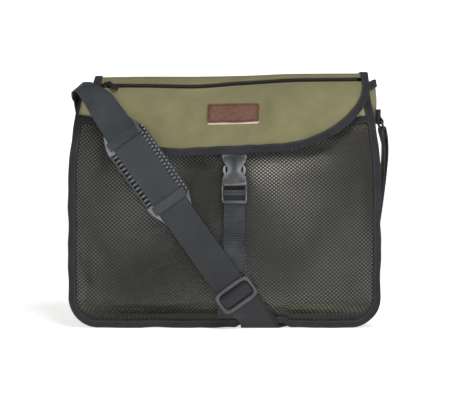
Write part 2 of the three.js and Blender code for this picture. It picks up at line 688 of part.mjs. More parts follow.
frameShape.moveTo(PLUG.corner - PLUG.half, PLUG.bottom).lineTo(PLUG.half - PLUG.corner, PLUG.bottom);
frameShape.lineTo(PLUG.half, cornerTop).lineTo(PLUG.half, PLUG.top);
frameShape.lineTo(-PLUG.half, PLUG.top).lineTo(-PLUG.half, cornerTop);
const prongHalf = SOCKET.cavity / 2 - PRONG_CLEAR;
const plugSlot = (low, high) => block(CLOSURE_SLOT_HALF, low, high, PLUG.thickness, 2 * PLUG.thickness);
piece(
  "buckle_plug",
  cut(
    union([
      plate(frameShape, PLUG.thickness / 2, PLUG.thickness),
      block(CORE.half, CORE.low, CORE.high, prongHalf, 2 * prongHalf),
      block(TONGUE.half, TONGUE.low, TONGUE.high, prongHalf, 2 * prongHalf),
      plate(armShape(1), prongHalf, 2 * prongHalf),
      plate(armShape(-1), prongHalf, 2 * prongHalf),
    ]),
    [plugSlot(PLUG_SLOTS.barHigh, PLUG_SLOTS.top), plugSlot(PLUG_SLOTS.foot, PLUG_SLOTS.barLow)],
  ),
  plastic,
  buckle,
);

// Places in the buckle's frame, in the bag's frame
buckle.updateMatrix();
const inBuckle = (y, z) => vector(0, y, z).applyMatrix4(buckle.matrix);
const layer = WEBBING + WEBBING_GAP;
const acrossBag = vector(1, 0, 0);

// Webbing round a bar of a half height and half depth: places about the bar's middle, at quarter turns
const BAR_CLEAR = 0.35;
const SQUARED = 0.5; // an ellipse would have 1
function aroundBar(halfDepth, halfHeight, turns) {
  const reachY = halfDepth + BAR_CLEAR + WEBBING / 2;
  const reachZ = halfHeight + BAR_CLEAR + WEBBING / 2;
  const squared = (value) => Math.sign(value) * Math.abs(value) ** SQUARED;
  return turns.map((turn) => {
    const angle = (turn * Math.PI) / 4;
    return { y: reachY * squared(Math.cos(angle)), z: reachZ * squared(Math.sin(angle)) };
  });
}

// Tab that holds the socket: sewn under the flap, round the socket's lug and back on itself
const TAB_SEWN = [245, 237, 229]; // heights on the flap
const underFlap = (z, layers) =>
  cover(BUCKLE.x, foldHeight(BUCKLE.x) - z, -(CLOTH / 2 + 0.3 + WEBBING / 2) - layers * layer);
const lugBar = { y: LUG.back - LUG.thickness / 2, z: LUG.top - LUG.bar / 2 };
const lugTurn = aroundBar(LUG.thickness / 2, LUG.bar / 2, [4, 5, 6, 7, 8]).map(({ y, z }) =>
  inBuckle(lugBar.y + y, lugBar.z + z),
);
const tabPath = [
  ...TAB_SEWN.map((z) => underFlap(z, 0)),
  ...lugTurn,
  ...[...TAB_SEWN].reverse().map((z) => underFlap(z, 1)),
];
piece("buckle_tab", flatRibbon(tabPath, acrossBag, CLOSURE_WIDTH), webbing);

// Closure strap: from the bottom seam up the net, round the plug's bar, and down again as a loose tail
const CLOSURE_FIXED = [
  { z: 12.5, y: -47.8 },
  { z: 18, y: -51.4 },
  { z: 26, y: -57 },
  { z: 34, y: -60.4 },
  { z: 42, y: -61.9 },
  { z: 60, y: -64.1 },
  { z: 78, y: -66.1 },
  { z: 106, y: -67 },
  { z: 130, y: -66.1 },
  { z: 142, y: -65.4 },
];
const CLOSURE_FOOT = 2.5; // x of its sewn end
const TAIL_HEIGHTS = [138, 124, 106, 88, 70];
const closureY = curve(CLOSURE_FIXED, "z", "y");
const closureX = (z) => mix(CLOSURE_FOOT, BUCKLE.x, clamp(z / 142, 0, 1));
const plugBarZ = (PLUG_SLOTS.barLow + PLUG_SLOTS.barHigh) / 2;
const plugBarHalf = (PLUG_SLOTS.barHigh - PLUG_SLOTS.barLow) / 2;
const plugTurn = aroundBar(PLUG.thickness / 2, plugBarHalf, [0, 1, 2, 3, 4, 5]);
const footReach = PLUG.thickness / 2 + BAR_CLEAR + WEBBING / 2;
const FOOT_HEIGHTS = [PLUG_SLOTS.foot + 0.9, PLUG.bottom];
const behindFoot = (layers) => FOOT_HEIGHTS.map((z) => inBuckle(footReach + layers * layer, z));
const closurePath = [
  ...CLOSURE_FIXED.map(({ y, z }) => vector(closureX(z), y, z)),
  ...behindFoot(1).reverse(),
  ...plugTurn.map(({ y, z }) => inBuckle(y, plugBarZ + z)),
  ...behindFoot(0),
  ...TAIL_HEIGHTS.map((z) => vector(BUCKLE.x, closureY(z) - layer, z)),
];
piece("closure_strap", flatRibbon(closurePath, acrossBag, CLOSURE_WIDTH), webbing);

// Front run of the shoulder strap: how far forward its middle is down the front line, and how much further
// its lower left edge is
const STRAP_Y = [
  { s: 8, y: -42.4, lean: 10.3 },
  { s: 20, y: -46.4, lean: 8 },
  { s: 38, y: -51.8, lean: 4.8 },
  { s: 50, y: -57.3, lean: 3.2 },
  { s: 62, y: -62.5, lean: 1.6 },
  { s: 74, y: -65.6, lean: 0 },
  { s: 98, y: -66.6, lean: 0 },
  { s: 122, y: -67.6, lean: 0 },
  { s: 146, y: -69.6, lean: 0 },
  { s: 170, y: -71, lean: 0 },
  { s: 230, y: -71.4, lean: 0 },
  { s: 256, y: -70.8, lean: 0 },
  { s: 278, y: -68.4, lean: 0 },
  { s: 302, y: -66.2, lean: 0 },
];
const strapY = curve(STRAP_Y, "s", "y");
const strapLean = curve(STRAP_Y, "s", "lean");
const strapAcross = vector(LINE.downZ, 0, -LINE.downX);
function strapFrame(s) {
  const slope = (strapY(s + 1) - strapY(s - 1)) / 2;
  const along = vector(LINE.downX, slope, LINE.downZ).normalize();
  const across = strapAcross.clone().setY((-2 * strapLean(s)) / STRAP_WIDTH).normalize();
  const point = vector(LINE.x + LINE.downX * s, strapY(s), LINE.z + LINE.downZ * s);
  return { point, along, across, face: across.clone().cross(along).normalize() };
}
// A place on the strap's front run: s down it, a across it to the lower left, n off its middle
function onStrap(s, a, n) {
  const { point, across, face } = strapFrame(s);
  return point.addScaledVector(across, a).addScaledVector(face, n);
}

// Sizes of the slider that joins the strap's two layers: three bars across a frame
const SLIDER = { s: 290, halfWidth: 21.8, halfLength: 14, corner: 3 };
const SLIDER_SLOT = { half: 19.2, from: 2, to: 9.2 }; // its two slots, on either side of the middle bar
const SLIDER_LOW = 1.15; // its underside above the strap's middle
const SLIDER_THICKNESS = 2.2;

// Way of the strap before its front line: up the left side and folded over to the front
const FOLD = [
  { x: -180.6, y: 2, z: 214, cut: [0, -1, 0] },
  { x: -178.2, y: 2.3, z: 240, cut: [0, -1, 0] },
  { x: -177.4, y: 2.2, z: 255, cut: [-0.1, -0.99, 0] },
  { x: -176.8, y: -1, z: 270, cut: [-0.2, -0.97, -0.05] },
  { x: -178.4, y: -12, z: 279.8, cut: [-0.16, -0.95, -0.2] },
  { x: -177, y: -23, z: 288, cut: [-0.18, -0.95, -0.27] },
  { x: -169.8, y: -34, z: 289, cut: [-0.29, -0.92, -0.25] },
  { x: -161.8, y: -41, z: 283.5, cut: [-0.47, -0.8, -0.37] },
  { x: -155, y: -42, z: 277.5, cut: [-0.56, -0.67, -0.48] },
];
const FRONT_STOPS = [10, 20, 32, 42, 50, 58, 66, 76, 88, 104, 120, 136, 152, 170, 200, 230, 256, 268];
// Off the line where the strap is woven through the slider: place from the slider's middle, height
const WEAVE = [
  { from: -13.5, n: 0 },
  { from: -8.6, n: 0 },
  { from: -4.4, n: 6.2 },
  { from: 4.4, n: 6.2 },
  { from: 8.6, n: 0 },
  { from: 13.5, n: 0 },
];
// Then round the bottom's two edges, up the back, round its right edge and up the right side to the ring.
// `cut` is the way across the strap where it bends over an edge, `face` the side that looks out
const ROUND = [
  { x: 28.8, y: -60, z: 21.6, cut: [-0.93, 0, -0.36] },
  { x: 35.7, y: -52.2, z: 11.8, cut: [-1, 0, 0] },
  { x: 38.6, y: -49.2, z: 7, cut: [-1, 0, 0] },
  { x: 40.6, y: -47.7, z: 2.1, cut: [-1, 0, 0] },
  { x: 43, y: -44.4, z: 0.75, cut: [-1, 0, 0] },
  { x: 72, y: 0, z: 0.75, cut: [-1, 0, 0] },
  { x: 100.4, y: 44, z: 0.75, cut: [-1, 0, 0] },
  { x: 103, y: 47.4, z: 2.1, cut: [-1, 0, 0] },
  { x: 105.6, y: 48.9, z: 6, cut: [-1, 0, 0] },
  { x: 110.5, y: 49.8, z: 13, cut: [-1, 0, 0] },
  { x: 122, y: 50.3, z: 29, cut: [-0.93, 0, 0.36] },
  { x: 139.9, y: 50.5, z: 54.6, face: [0, 1, 0] },
  { x: 158, y: 50.3, z: 80.5, cut: [-0.46, 0, 0.89] },
  { x: 176, y: 49.8, z: 106, cut: [0, 0, 1] },
  { x: 186, y: 48.6, z: 120, cut: [0, 0, 1] },
  { x: 189.1, y: 47.3, z: 124.5, cut: [0, 0, 1] },
  { x: 190.6, y: 44.2, z: 129, cut: [0, 0, 1] },
  { x: 192.3, y: 34, z: 146, cut: [0, 0, 1] },
  { x: 194.8, y: 22, z: 166, cut: [0, 0.46, 0.89] },
  { x: 197.3, y: 10, z: 193, face: [1, 0, 0] },
  { x: 198.2, y: 3.5, z: 214, face: [1, 0, 0] },
  { x: 197.2, y: 1.5, z: 227, face: [0.97, 0, 0.25] },
];
const RING = { x: 192.5, z: 238.5, topX: 189.3, topZ: 247.2, y: 1, wire: 3.2, half: 21.3 };
const ringReach = RING.wire / 2 + BAR_CLEAR + WEBBING / 2;
const INNER_NEAR_RING = [layer, layer, layer, 2.4, 3.6, 4.6]; // gap of the layers on its last stations
const SLIP = 3; // how far the inner layer has moved to the right below the slider

// Places of the strap's middle, in order, with a face or a cut
const place = ({ x, y, z, face, cut: across }) => ({
  point: vector(x, y, z),
  face: face && vector(...face),
  across: across && vector(...across),
});
const frontPlaces = FRONT_STOPS.map((s) => ({ point: onStrap(s, 0, 0), across: strapFrame(s).across }));
const weavePlaces = WEAVE.map(({ from, n }) => ({
  point: onStrap(SLIDER.s + from, 0, n),
  across: strapAcross,
}));
const outward = [...FOLD.map(place), ...frontPlaces, ...weavePlaces, ...ROUND.map(place)];
const outerFrames = outward.map(({ point, face, across }, i) => {
  const before = outward[Math.max(i - 1, 0)].point;
  const after = i + 1 < outward.length ? outward[i + 1].point : vector(RING.x + ringReach, RING.y, RING.z);
  const along = after.clone().sub(before).normalize();
  const way = across ? across.clone() : along.clone().cross(face).normalize();
  const square = way.clone().addScaledVector(along, -way.dot(along)).length();
  return { point, wide: way.divideScalar(square), face: way.clone().cross(along).normalize() };
});
const ringFrames = spaced(0, Math.PI, 4).map((angle) => {
  const face = vector(Math.cos(angle), 0, Math.sin(angle));
  const point = vector(RING.x, RING.y, RING.z).addScaledVector(face, ringReach);
  return { point, wide: vector(0, 1, 0), face };
});
const innerFrames = outerFrames.slice(-ROUND.length).map(({ point, wide, face }, i) => {
  const fromRing = i - ROUND.length + INNER_NEAR_RING.length;
  const depth = fromRing < 0 ? layer : INNER_NEAR_RING[fromRing];
  const slip = SLIP * (1 - fade(4, 9, i));
  const moved = point.clone().addScaledVector(face, -depth).addScaledVector(wide, -slip);
  return { point: moved, wide, face: face.clone().negate() };
});
// The inner layer's end, sewn round the slider's middle bar: place from that bar, height, and facing
const barMiddle = SLIDER_LOW + SLIDER_THICKNESS / 2;
const SEWN_END = [
  { from: 13.5, n: -1.95, slip: SLIP, face: [0, -1] },
  { from: 9, n: -1.95, slip: 1, face: [0, -1] },
  { from: 5.5, n: -1.6, slip: 0, face: [0, -1] },
  { from: 2.2, n: barMiddle - 2.2, slip: 0, face: [0, -1] },
  { from: -2.2, n: barMiddle - 2.2, slip: 0, face: [-0.3, -1] },
  { from: -3.3, n: barMiddle - 1.15, slip: 0, face: [-1, -0.3] },
  { from: -3.3, n: barMiddle + 1.15, slip: 0, face: [-1, 0.3] },
  { from: -2.2, n: barMiddle + 2.2, slip: 0, face: [-0.3, 1] },
  { from: 2.2, n: barMiddle + 2.2, slip: 0, face: [0, 1] },
];
const sewnFrames = SEWN_END.map(({ from, n, slip, face: [downward, off] }) => {
  const { along, face } = strapFrame(SLIDER.s + from);
  const out = along.multiplyScalar(downward).addScaledVector(face, off).normalize();
  return { point: onStrap(SLIDER.s + from, -slip, n), wide: strapAcross, face: out };
});
const strapSection = rectangle(STRAP_WIDTH, WEBBING);
const strapSections = [...outerFrames, ...ringFrames, ...innerFrames.reverse(), ...sewnFrames].map(
  ({ point, wide, face }) =>
    strapSection.map((p) => point.clone().addScaledVector(wide, p.x).addScaledVector(face, p.y)),
);
piece("shoulder_strap", sweep(strapSections, strapSection), webbing);

// Strap slider: a flat frame with a middle bar
const slider = strapFrame(SLIDER.s);
const sliderShape = roundedRectangle(SLIDER.halfWidth, SLIDER.halfLength, SLIDER.corner);
for (const side of [-1, 1]) {
  const slot = new THREE.Path();
  const [low, high] = [side * SLIDER_SLOT.from, side * SLIDER_SLOT.to];
  slot.moveTo(-SLIDER_SLOT.half, low).lineTo(SLIDER_SLOT.half, low).lineTo(SLIDER_SLOT.half, high);
  sliderShape.holes.push(slot.lineTo(-SLIDER_SLOT.half, high).closePath());
}
const sliderPlate = extrude(sliderShape, SLIDER_THICKNESS);
const sliderTurn = new THREE.Matrix4().makeBasis(
  strapAcross.clone().negate(),
  slider.along.clone().negate(),
  slider.face,
);
sliderPlate.translate(0, 0, SLIDER_LOW).applyMatrix4(sliderTurn);
sliderPlate.translate(slider.point.x, slider.point.y, slider.point.z);
piece("strap_slider", sliderPlate, plastic);

// Shoulder pad under the strap: a moulded strip with a channel for the webbing and ribbed margins
const PAD = { from: 46, to: 172, half: 27.5, endHalf: 19.4, taper: 26, thickness: 4.2, under: 1.8 };
const CHANNEL_HALF = STRAP_WIDTH / 2 + 0.6;
const RIBS = { from: 73, count: 13, pitch: 5.6, top: 0.5, groove: -1.4 };
const SMOOTH_MARGIN = -0.6;
const padHalf = (s) => {
  const fromEnd = Math.min((s - PAD.from) / PAD.taper, (PAD.to - s) / PAD.taper, 1);
  return mix(PAD.endHalf, PAD.half, Math.sin((fromEnd * Math.PI) / 2));
};
const ribStops = Array.from({ length: RIBS.count }, (_, i) => {
  const start = RIBS.from + i * RIBS.pitch;
  return [
    { s: start, top: RIBS.groove },
    { s: start + 0.25 * RIBS.pitch, top: RIBS.top },
    { s: start + 0.75 * RIBS.pitch, top: RIBS.top },
  ];
}).flat();
const ribEnd = RIBS.from + RIBS.count * RIBS.pitch;
const smoothStops = [...spaced(PAD.from, RIBS.from - 2, 6), ...spaced(ribEnd + 2, PAD.to, 6)];
const padStops = [
  ...smoothStops.slice(0, 7).map((s) => ({ s, top: SMOOTH_MARGIN })),
  ...ribStops,
  { s: ribEnd, top: RIBS.groove },
  ...smoothStops.slice(7).map((s) => ({ s, top: SMOOTH_MARGIN })),
];
const padSection = (half, top) => {
  const low = -PAD.under - PAD.thickness;
  return [
    new THREE.Vector2(-half, low + 1.6),
    new THREE.Vector2(2 - half, low),
    new THREE.Vector2(half - 2, low),
    new THREE.Vector2(half, low + 1.6),
    new THREE.Vector2(half, top),
    new THREE.Vector2(CHANNEL_HALF, top),
    new THREE.Vector2(CHANNEL_HALF, -PAD.under),
    new THREE.Vector2(-CHANNEL_HALF, -PAD.under),
    new THREE.Vector2(-CHANNEL_HALF, top),
    new THREE.Vector2(-half, top),
  ];
};
const padSections = padStops.map(({ s, top }) =>
  padSection(padHalf(s), top).map((p) => onStrap(s, p.x, p.y)),
);
piece("shoulder_pad", sweep(padSections, padSection(PAD.half, SMOOTH_MARGIN)), rubber);

// Bands that keep the strap on the pad
const KEEPERS = { pad_keeper_upper: 63, pad_keeper_lower: 154.5 };
const KEEPER = { halfLength: 5.5, thickness: 1.2 };
const KEEPER_ARCH = [
  { a: 22.4, n: 0.45 },
  { a: 21.4, n: 0.5 },
  { a: 19, n: 1.75 },
  { a: 10, n: 1.85 },
];
const archPoints = [
  ...KEEPER_ARCH,
  { a: 0, n: 1.9 },
  ...[...KEEPER_ARCH].reverse().map(({ a, n }) => ({ a: -a, n })),
];
for (const [name, middle] of Object.entries(KEEPERS)) {
  const rows = spaced(middle - KEEPER.halfLength, middle + KEEPER.halfLength, 2).map((s) =>
    archPoints.map(({ a, n }) => onStrap(s, a, n)),
  );
  piece(name, sheet(rows, KEEPER.thickness), rubber);
}

// Ring at the right side: a wire loop that hangs in its tab, the strap round its lower bar
const WIRE_SIDES = 8;
const ringDown = vector(RING.x - RING.topX, 0, RING.z - RING.topZ);
const ringMiddle = vector((RING.x + RING.topX) / 2, RING.y, (RING.z + RING.topZ) / 2);
const ringOutline = roundedRectangle(RING.half, ringDown.length() / 2, 3).getPoints(2).slice(0, -1);
const ringWay = ringDown.clone().normalize();
const ringFace = vector(0, 1, 0).cross(ringWay);
const ringPoints = ringOutline.map((p) =>
  ringMiddle.clone().addScaledVector(vector(0, 1, 0), p.x).addScaledVector(ringWay, p.y),
);
const ringSections = ringPoints.map((point, i) => {
  const next = ringPoints[(i + 1) % ringPoints.length];
  const before = ringPoints[(i + ringPoints.length - 1) % ringPoints.length];
  const side = next.clone().sub(before).normalize().cross(ringFace).normalize();
  return spaced(0, 2 * Math.PI, WIRE_SIDES)
    .slice(1)
    .map((angle) =>
      point
        .clone()
        .addScaledVector(side, (RING.wire / 2) * Math.cos(angle))
        .addScaledVector(ringFace, (RING.wire / 2) * Math.sin(angle)),
    );
});
const ringTriangles = ringSections.flatMap((_, i) =>
  spaced(0, WIRE_SIDES - 1, WIRE_SIDES - 1).flatMap((j) => {
    const [here, there] = [i * WIRE_SIDES, ((i + 1) % ringSections.length) * WIRE_SIDES];
    const next = (j + 1) % WIRE_SIDES;
    return halves([here + j, here + next, there + next, there + j]);
  }),
);
piece("strap_ring", closedBody(ringSections.flat(), ringTriangles), plastic);

// Tab that holds the ring: sewn on the gusset and hanging down as a loop
const RING_TAB_WIDTH = 36;
const RING_TAB_TOP = [
  { x: 186.5, z: 262 },
  { x: 186.3, z: 254 },
];
const tabTurn = aroundBar(RING.wire / 2, RING.wire / 2, [4, 5, 6, 7, 8]).map(({ y, z }) =>
  vector(RING.topX + y, RING.y, RING.topZ + z),
);
const ringTabPath = [
  ...RING_TAB_TOP.map(({ x, z }) => vector(x, RING.y, z)),
  ...tabTurn,
  ...[...RING_TAB_TOP].reverse().map(({ x, z }) => vector(x + layer, RING.y, z)),
];
piece("ring_tab", flatRibbon(ringTabPath, vector(0, 1, 0), RING_TAB_WIDTH), webbing);

// Zip slider at the left end with its pull: a plate with an arch, and a flat tab with an eye round it
const ZIP_SLIDER_X = -141.5;
const zipSlider = zipFrame(ZIP_SLIDER_X);
const zipTurn = new THREE.Matrix4()
  .makeBasis(zipSlider.along, zipSlider.up, zipSlider.normal)
  .setPosition(zipSlider.point);
const SLIDER_PLATE = { halfLength: 5, halfWidth: 3.8, corner: 2, low: 1.15, high: 2.6 };
const ARCH = { leg: 2.2, half: 0.8, low: 2.1, high: 5.8, bridge: 4.9 };
const raised = (shape, low, high) => extrude(shape, high - low).translate(0, 0, low);
const square = (x, halfX, halfY) => {
  const shape = new THREE.Shape();
  shape.moveTo(x - halfX, -halfY).lineTo(x + halfX, -halfY);
  return shape.lineTo(x + halfX, halfY).lineTo(x - halfX, halfY);
};
const plateOutline = roundedRectangle(SLIDER_PLATE.halfLength, SLIDER_PLATE.halfWidth, SLIDER_PLATE.corner);
const zipSliderBody = union([
  raised(plateOutline, SLIDER_PLATE.low, SLIDER_PLATE.high),
  raised(square(-ARCH.leg, ARCH.half, ARCH.half), ARCH.low, ARCH.high),
  raised(square(ARCH.leg, ARCH.half, ARCH.half), ARCH.low, ARCH.high),
  raised(square(0, ARCH.leg + ARCH.half, ARCH.half), ARCH.bridge, ARCH.high),
]);
piece("zip_slider", zipSliderBody.applyMatrix4(zipTurn), plastic);
const PULL = { eye: 1.5, ring: 3.6, length: 15, half: 3.4, hole: 1.6, low: 3, high: 4.6, angle: -46 };
const pullShape = new THREE.Shape();
pullShape.absarc(0, 0, PULL.ring, Math.PI / 4, 1.75 * Math.PI);
pullShape.lineTo(PULL.length - 1, -PULL.half).lineTo(PULL.length, -PULL.half + 1);
pullShape.lineTo(PULL.length, PULL.half - 1).lineTo(PULL.length - 1, PULL.half);
pullShape.holes.push(new THREE.Path().absarc(0, 0, PULL.eye, 0, 2 * Math.PI, true));
pullShape.holes.push(new THREE.Path().absarc(PULL.length - 3.6, 0, PULL.hole, 0, 2 * Math.PI, true));
const pull = raised(pullShape, PULL.low, PULL.high).rotateZ(THREE.MathUtils.degToRad(PULL.angle));
piece("zip_pull", pull.translate(ARCH.leg, 0, 0).applyMatrix4(zipTurn), plastic);

// The bag's own y = 0 lies between its seams; the part's origin is below the middle of its box
const size = new THREE.Box3().setFromObject(bag);
const middle = size.getCenter(vector(0, 0, 0));
bag.position.set(-middle.x, -middle.y, 0);
const part = new THREE.Group();
part.add(bag);

export default part;
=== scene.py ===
# Game bag of olive canvas: a body of two panels and a gusset with bound seams, a net pocket over its
# front, a bound flap with a zip and a buckle, and a padded webbing strap laid across it.
# Sizes are in millimetres in the bag's own frame, with y = 0 between its bottom seams.
import math

import bmesh
import bpy
import numpy as np
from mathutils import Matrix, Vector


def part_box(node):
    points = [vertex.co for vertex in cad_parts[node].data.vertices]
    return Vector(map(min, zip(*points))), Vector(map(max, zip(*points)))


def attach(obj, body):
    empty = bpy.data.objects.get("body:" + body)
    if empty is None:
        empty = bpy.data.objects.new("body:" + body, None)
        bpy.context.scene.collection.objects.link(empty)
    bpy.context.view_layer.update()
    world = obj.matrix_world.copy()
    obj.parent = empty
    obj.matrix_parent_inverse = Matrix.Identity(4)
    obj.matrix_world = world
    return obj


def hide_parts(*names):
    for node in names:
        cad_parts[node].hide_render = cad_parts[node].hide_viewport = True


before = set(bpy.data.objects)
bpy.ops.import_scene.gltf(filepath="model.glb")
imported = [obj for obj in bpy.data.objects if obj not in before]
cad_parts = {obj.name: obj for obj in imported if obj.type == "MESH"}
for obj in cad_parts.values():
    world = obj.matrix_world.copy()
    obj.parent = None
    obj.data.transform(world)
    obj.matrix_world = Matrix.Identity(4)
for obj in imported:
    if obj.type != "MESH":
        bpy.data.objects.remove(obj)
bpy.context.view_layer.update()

# Where the bag's own frame lies in the part: the front seam's tape is even about x = 0, and its front
# face is a known distance before y = 0.
FRONT_TAPE_FACE = 45.9
tape_low, tape_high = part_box("front_binding")
BAG_X = (tape_low[0] + tape_high[0]) / 2
BAG_Y = tape_low[1] + FRONT_TAPE_FACE / 1000


# Studio: a round white floor that turns up in a low wall, a large soft key light high at the right, a
# weaker one low at the right, and an even white surround, with the camera a little above the bag's middle.
PIXEL = 1.195  # millimetres per pixel of a 450 pixel wide picture, at the front seam
FRAME_PIXELS = 450
SEAM_Y = -42
DISTANCE = 1660
ELEVATION = math.radians(3)
AIM = (0.5, 153.5)
SENSOR = 36


def in_part(points):
    """Places in the bag's frame, in millimetres, as places in the part's frame, in metres."""
    return np.asarray(points, float) / 1000 + np.array([BAG_X, BAG_Y, 0])


camera = bpy.data.objects.new("camera", bpy.data.cameras.new("camera"))
bpy.context.collection.objects.link(camera)
camera.data.sensor_width = SENSOR
camera.data.lens = SENSOR * DISTANCE / (FRAME_PIXELS * PIXEL)
stand_y = SEAM_Y - DISTANCE * math.cos(ELEVATION)
stand_z = AIM[1] + DISTANCE * math.sin(ELEVATION)
camera.location = in_part((AIM[0], stand_y, stand_z))
camera.rotation_euler = (math.pi / 2 - ELEVATION, 0, 0)
bpy.context.scene.camera = camera


def put_mesh(name, points, quads, uv=None, smooth_angle=40):
    """An object from arrays: points in the bag's millimetres, four-sided faces, and a UV for each point in
    metres. The faces are turned round if the volume that they enclose comes out negative."""
    corners = points[quads]
    turn = np.cross(corners[:, 2] - corners[:, 0], corners[:, 3] - corners[:, 1])
    if np.einsum("ij,ij->", turn, corners.mean(axis=1) - points.mean(axis=0)) < 0:
        quads = quads[:, ::-1]
    mesh = bpy.data.meshes.new(name)
    mesh.vertices.add(len(points))
    mesh.vertices.foreach_set("co", in_part(points).astype(np.float32).ravel())
    mesh.loops.add(quads.size)
    mesh.loops.foreach_set("vertex_index", quads.astype(np.int32).ravel())
    mesh.polygons.add(len(quads))
    mesh.polygons.foreach_set("loop_start", np.arange(0, quads.size, 4, dtype=np.int32))
    mesh.update(calc_edges=True)
    if uv is not None:
        layer = mesh.uv_layers.new(name="cloth")
        layer.data.foreach_set("uv", uv[quads.ravel()].astype(np.float32).ravel())
    mesh.polygons.foreach_set("use_smooth", np.ones(len(quads), bool))
    mesh.set_sharp_from_angle(angle=math.radians(smooth_angle))
    piece = bpy.data.objects.new(name, mesh)
    bpy.context.collection.objects.link(piece)
    return piece


def grid_quads(rows, columns):
    """The faces of a grid of points that is stored row after row."""
    first = (np.arange(rows - 1)[:, None] * columns + np.arange(columns - 1)).ravel()
    return np.stack([first, first + 1, first + 1 + columns, first + columns], axis=1)


FLOOR = {"middle": 1, "flat": 4000, "bend": 600, "bend_steps": 16, "wall": 1500, "sides": 96}


def floor_profile():
    """The floor's section from its middle out: flat, a quarter round, then an upright wall, as distances
    and heights."""
    angle = np.linspace(0, math.pi / 2, FLOOR["bend_steps"])
    out = FLOOR["flat"] + FLOOR["bend"] * np.sin(angle)
    rise = FLOOR["bend"] * (1 - np.cos(angle))
    return np.r_[FLOOR["middle"], out, out[-1]], np.r_[0, rise, FLOOR["wall"]]


floor_out, floor_z = floor_profile()
turn = np.linspace(0, 2 * math.pi, FLOOR["sides"] + 1)
floor_x, floor_y = floor_out[:, None] * np.cos(turn), floor_out[:, None] * np.sin(turn)
floor_points = np.stack([floor_x, floor_y, floor_z[:, None] + 0 * turn], axis=2)
floor = put_mesh("studio_floor", floor_points.reshape(-1, 3), grid_quads(*floor_points.shape[:2]))


def linear(code):
    """An sRGB hex code as linear red, green, blue and alpha."""
    srgb = np.array([int(code[i:i + 2], 16) for i in (1, 3, 5)]) / 255
    return (*np.where(srgb <= 0.04045, srgb / 12.92, ((srgb + 0.055) / 1.055) ** 2.4), 1)


def add(material, kind, inputs=None, stops=(), **settings):
    """One node of a material with its settings, its inputs set to values or linked to other nodes' outputs,
    and a colour ramp's stops as places and hex codes."""
    node = material.node_tree.nodes.new(kind)
    for key, value in settings.items():
        setattr(node, key, value)
    for key, value in (inputs or {}).items():
        if isinstance(value, bpy.types.NodeSocket):
            material.node_tree.links.new(value, node.inputs[key])
        else:
            node.inputs[key].default_value = value
    for number, (at, code) in enumerate(stops):
        node.color_ramp.elements[number].position = at
        node.color_ramp.elements[number].color = linear(code)
    return node


def surface(name, **sockets):
    """A material with one Principled shader, whose plain values are set on its own sockets."""
    material = bpy.data.materials.new(name)
    material.use_nodes = True
    shader = material.node_tree.nodes["Principled BSDF"]
    for key, value in sockets.items():
        shader.inputs[key.replace("_", " ")].default_value = value
    return material


# Matt white paper that is lit all round, so that it shows pure white with a soft shadow under the bag
PAPER_GLOW = 0.62
SURROUND_LIGHT = 0.17
floor.data.materials.append(
    surface("white_studio_paper", Base_Color=linear("#F4F4F4"), Roughness=0.9,
            Emission_Color=linear("#FFFFFF"), Emission_Strength=PAPER_GLOW))

world = bpy.data.worlds.new("white_surround")
world.use_nodes = True
background = world.node_tree.nodes["Background"]
background.inputs["Color"].default_value = linear("#FFFFFF")
background.inputs["Strength"].default_value = SURROUND_LIGHT
bpy.context.scene.world = world
bpy.context.scene.view_settings.view_transform = "Standard"

LAMPS_AIM = (0, 0, 150)
# Name, place, power in watts, side in millimetres
LAMPS = (
    ("key_light", (450, -1150, 1900), 25, 600),
    ("fill_light", (700, -1700, 420), 3, 900),
)
for lamp_name, place, power, side in LAMPS:
    lamp = bpy.data.objects.new(lamp_name, bpy.data.lights.new(lamp_name, "AREA"))
    lamp.data.energy = power
    lamp.data.size = side / 1000
    lamp.location = in_part(place)
    towards = in_part(LAMPS_AIM) - in_part(place)
    lamp.rotation_euler = (
        math.atan2(math.hypot(towards[0], towards[1]), -towards[2]),
        0,
        math.atan2(-towards[0], towards[1]),
    )
    bpy.context.collection.objects.link(lamp)


# Front panel: one piece of olive canvas behind the net, sewn to the gusset round its sides and bottom.
# It is full in the middle and held in at the seams, and its free top edge sags between them.
CLOTH = 1.2
SEAM_BOTTOM = 10
SEAM_TOP = 286
CORNER_RADIUS = 28
POCKET_TOP = 253
SEAM_ALLOWANCE = 4  # cloth beyond the seam, inside the tape
FRONT_BULGE = 13
FRONT_SAG = 8
BODY = {
    "z": (0, 120, 190, 226, 250, 274, 286),
    "half": (177.5, 177.5, 177, 173.5, 170.5, 166.5, 164.5),
    "front": (42.5, 42, 36.5, 30.5, 24.5, 17, 13.5),
    "back": (42.5, 42, 37, 32, 28, 22.5, 20),
}
FULLNESS = {
    "z": (10, 18, 30, 60, 110, 160, 215, 253, 286),
    "net": (0, 0.3, 0.6, 0.9, 1, 0.95, 0.8, 0.58, 0.2),
    "front": (0, 0.22, 0.5, 0.88, 1, 0.9, 0.5, 0.08, 0),
    "back": (0, 0.1, 0.3, 0.7, 1, 1, 0.7, 0.35, 0),
}


def curve(table, along, gives):
    """A smooth curve through one column of a table by another: cubic pieces whose slope at a row is the
    harmonic mean of the slopes beside it, so that they never overshoot."""
    at = np.array(table[along], float)
    value = np.array(table[gives], float)
    slope = np.diff(value) / np.diff(at)
    before = np.r_[slope[0], slope]
    after = np.r_[slope, slope[-1]]
    same_way = before * after > 0
    tangent = np.where(same_way, 2 * before * after / np.where(same_way, before + after, 1), 0)

    def evaluate(where):
        place = np.clip(where, at[0], at[-1])
        i = np.clip(np.searchsorted(at, place, side="right") - 1, 0, len(slope) - 1)
        step = at[i + 1] - at[i]
        k = (place - at[i]) / step
        rise = (1 - k) ** 2 * k * tangent[i] - k * k * (1 - k) * tangent[i + 1]
        return value[i] + (value[i + 1] - value[i]) * k * k * (3 - 2 * k) + step * rise

    return evaluate


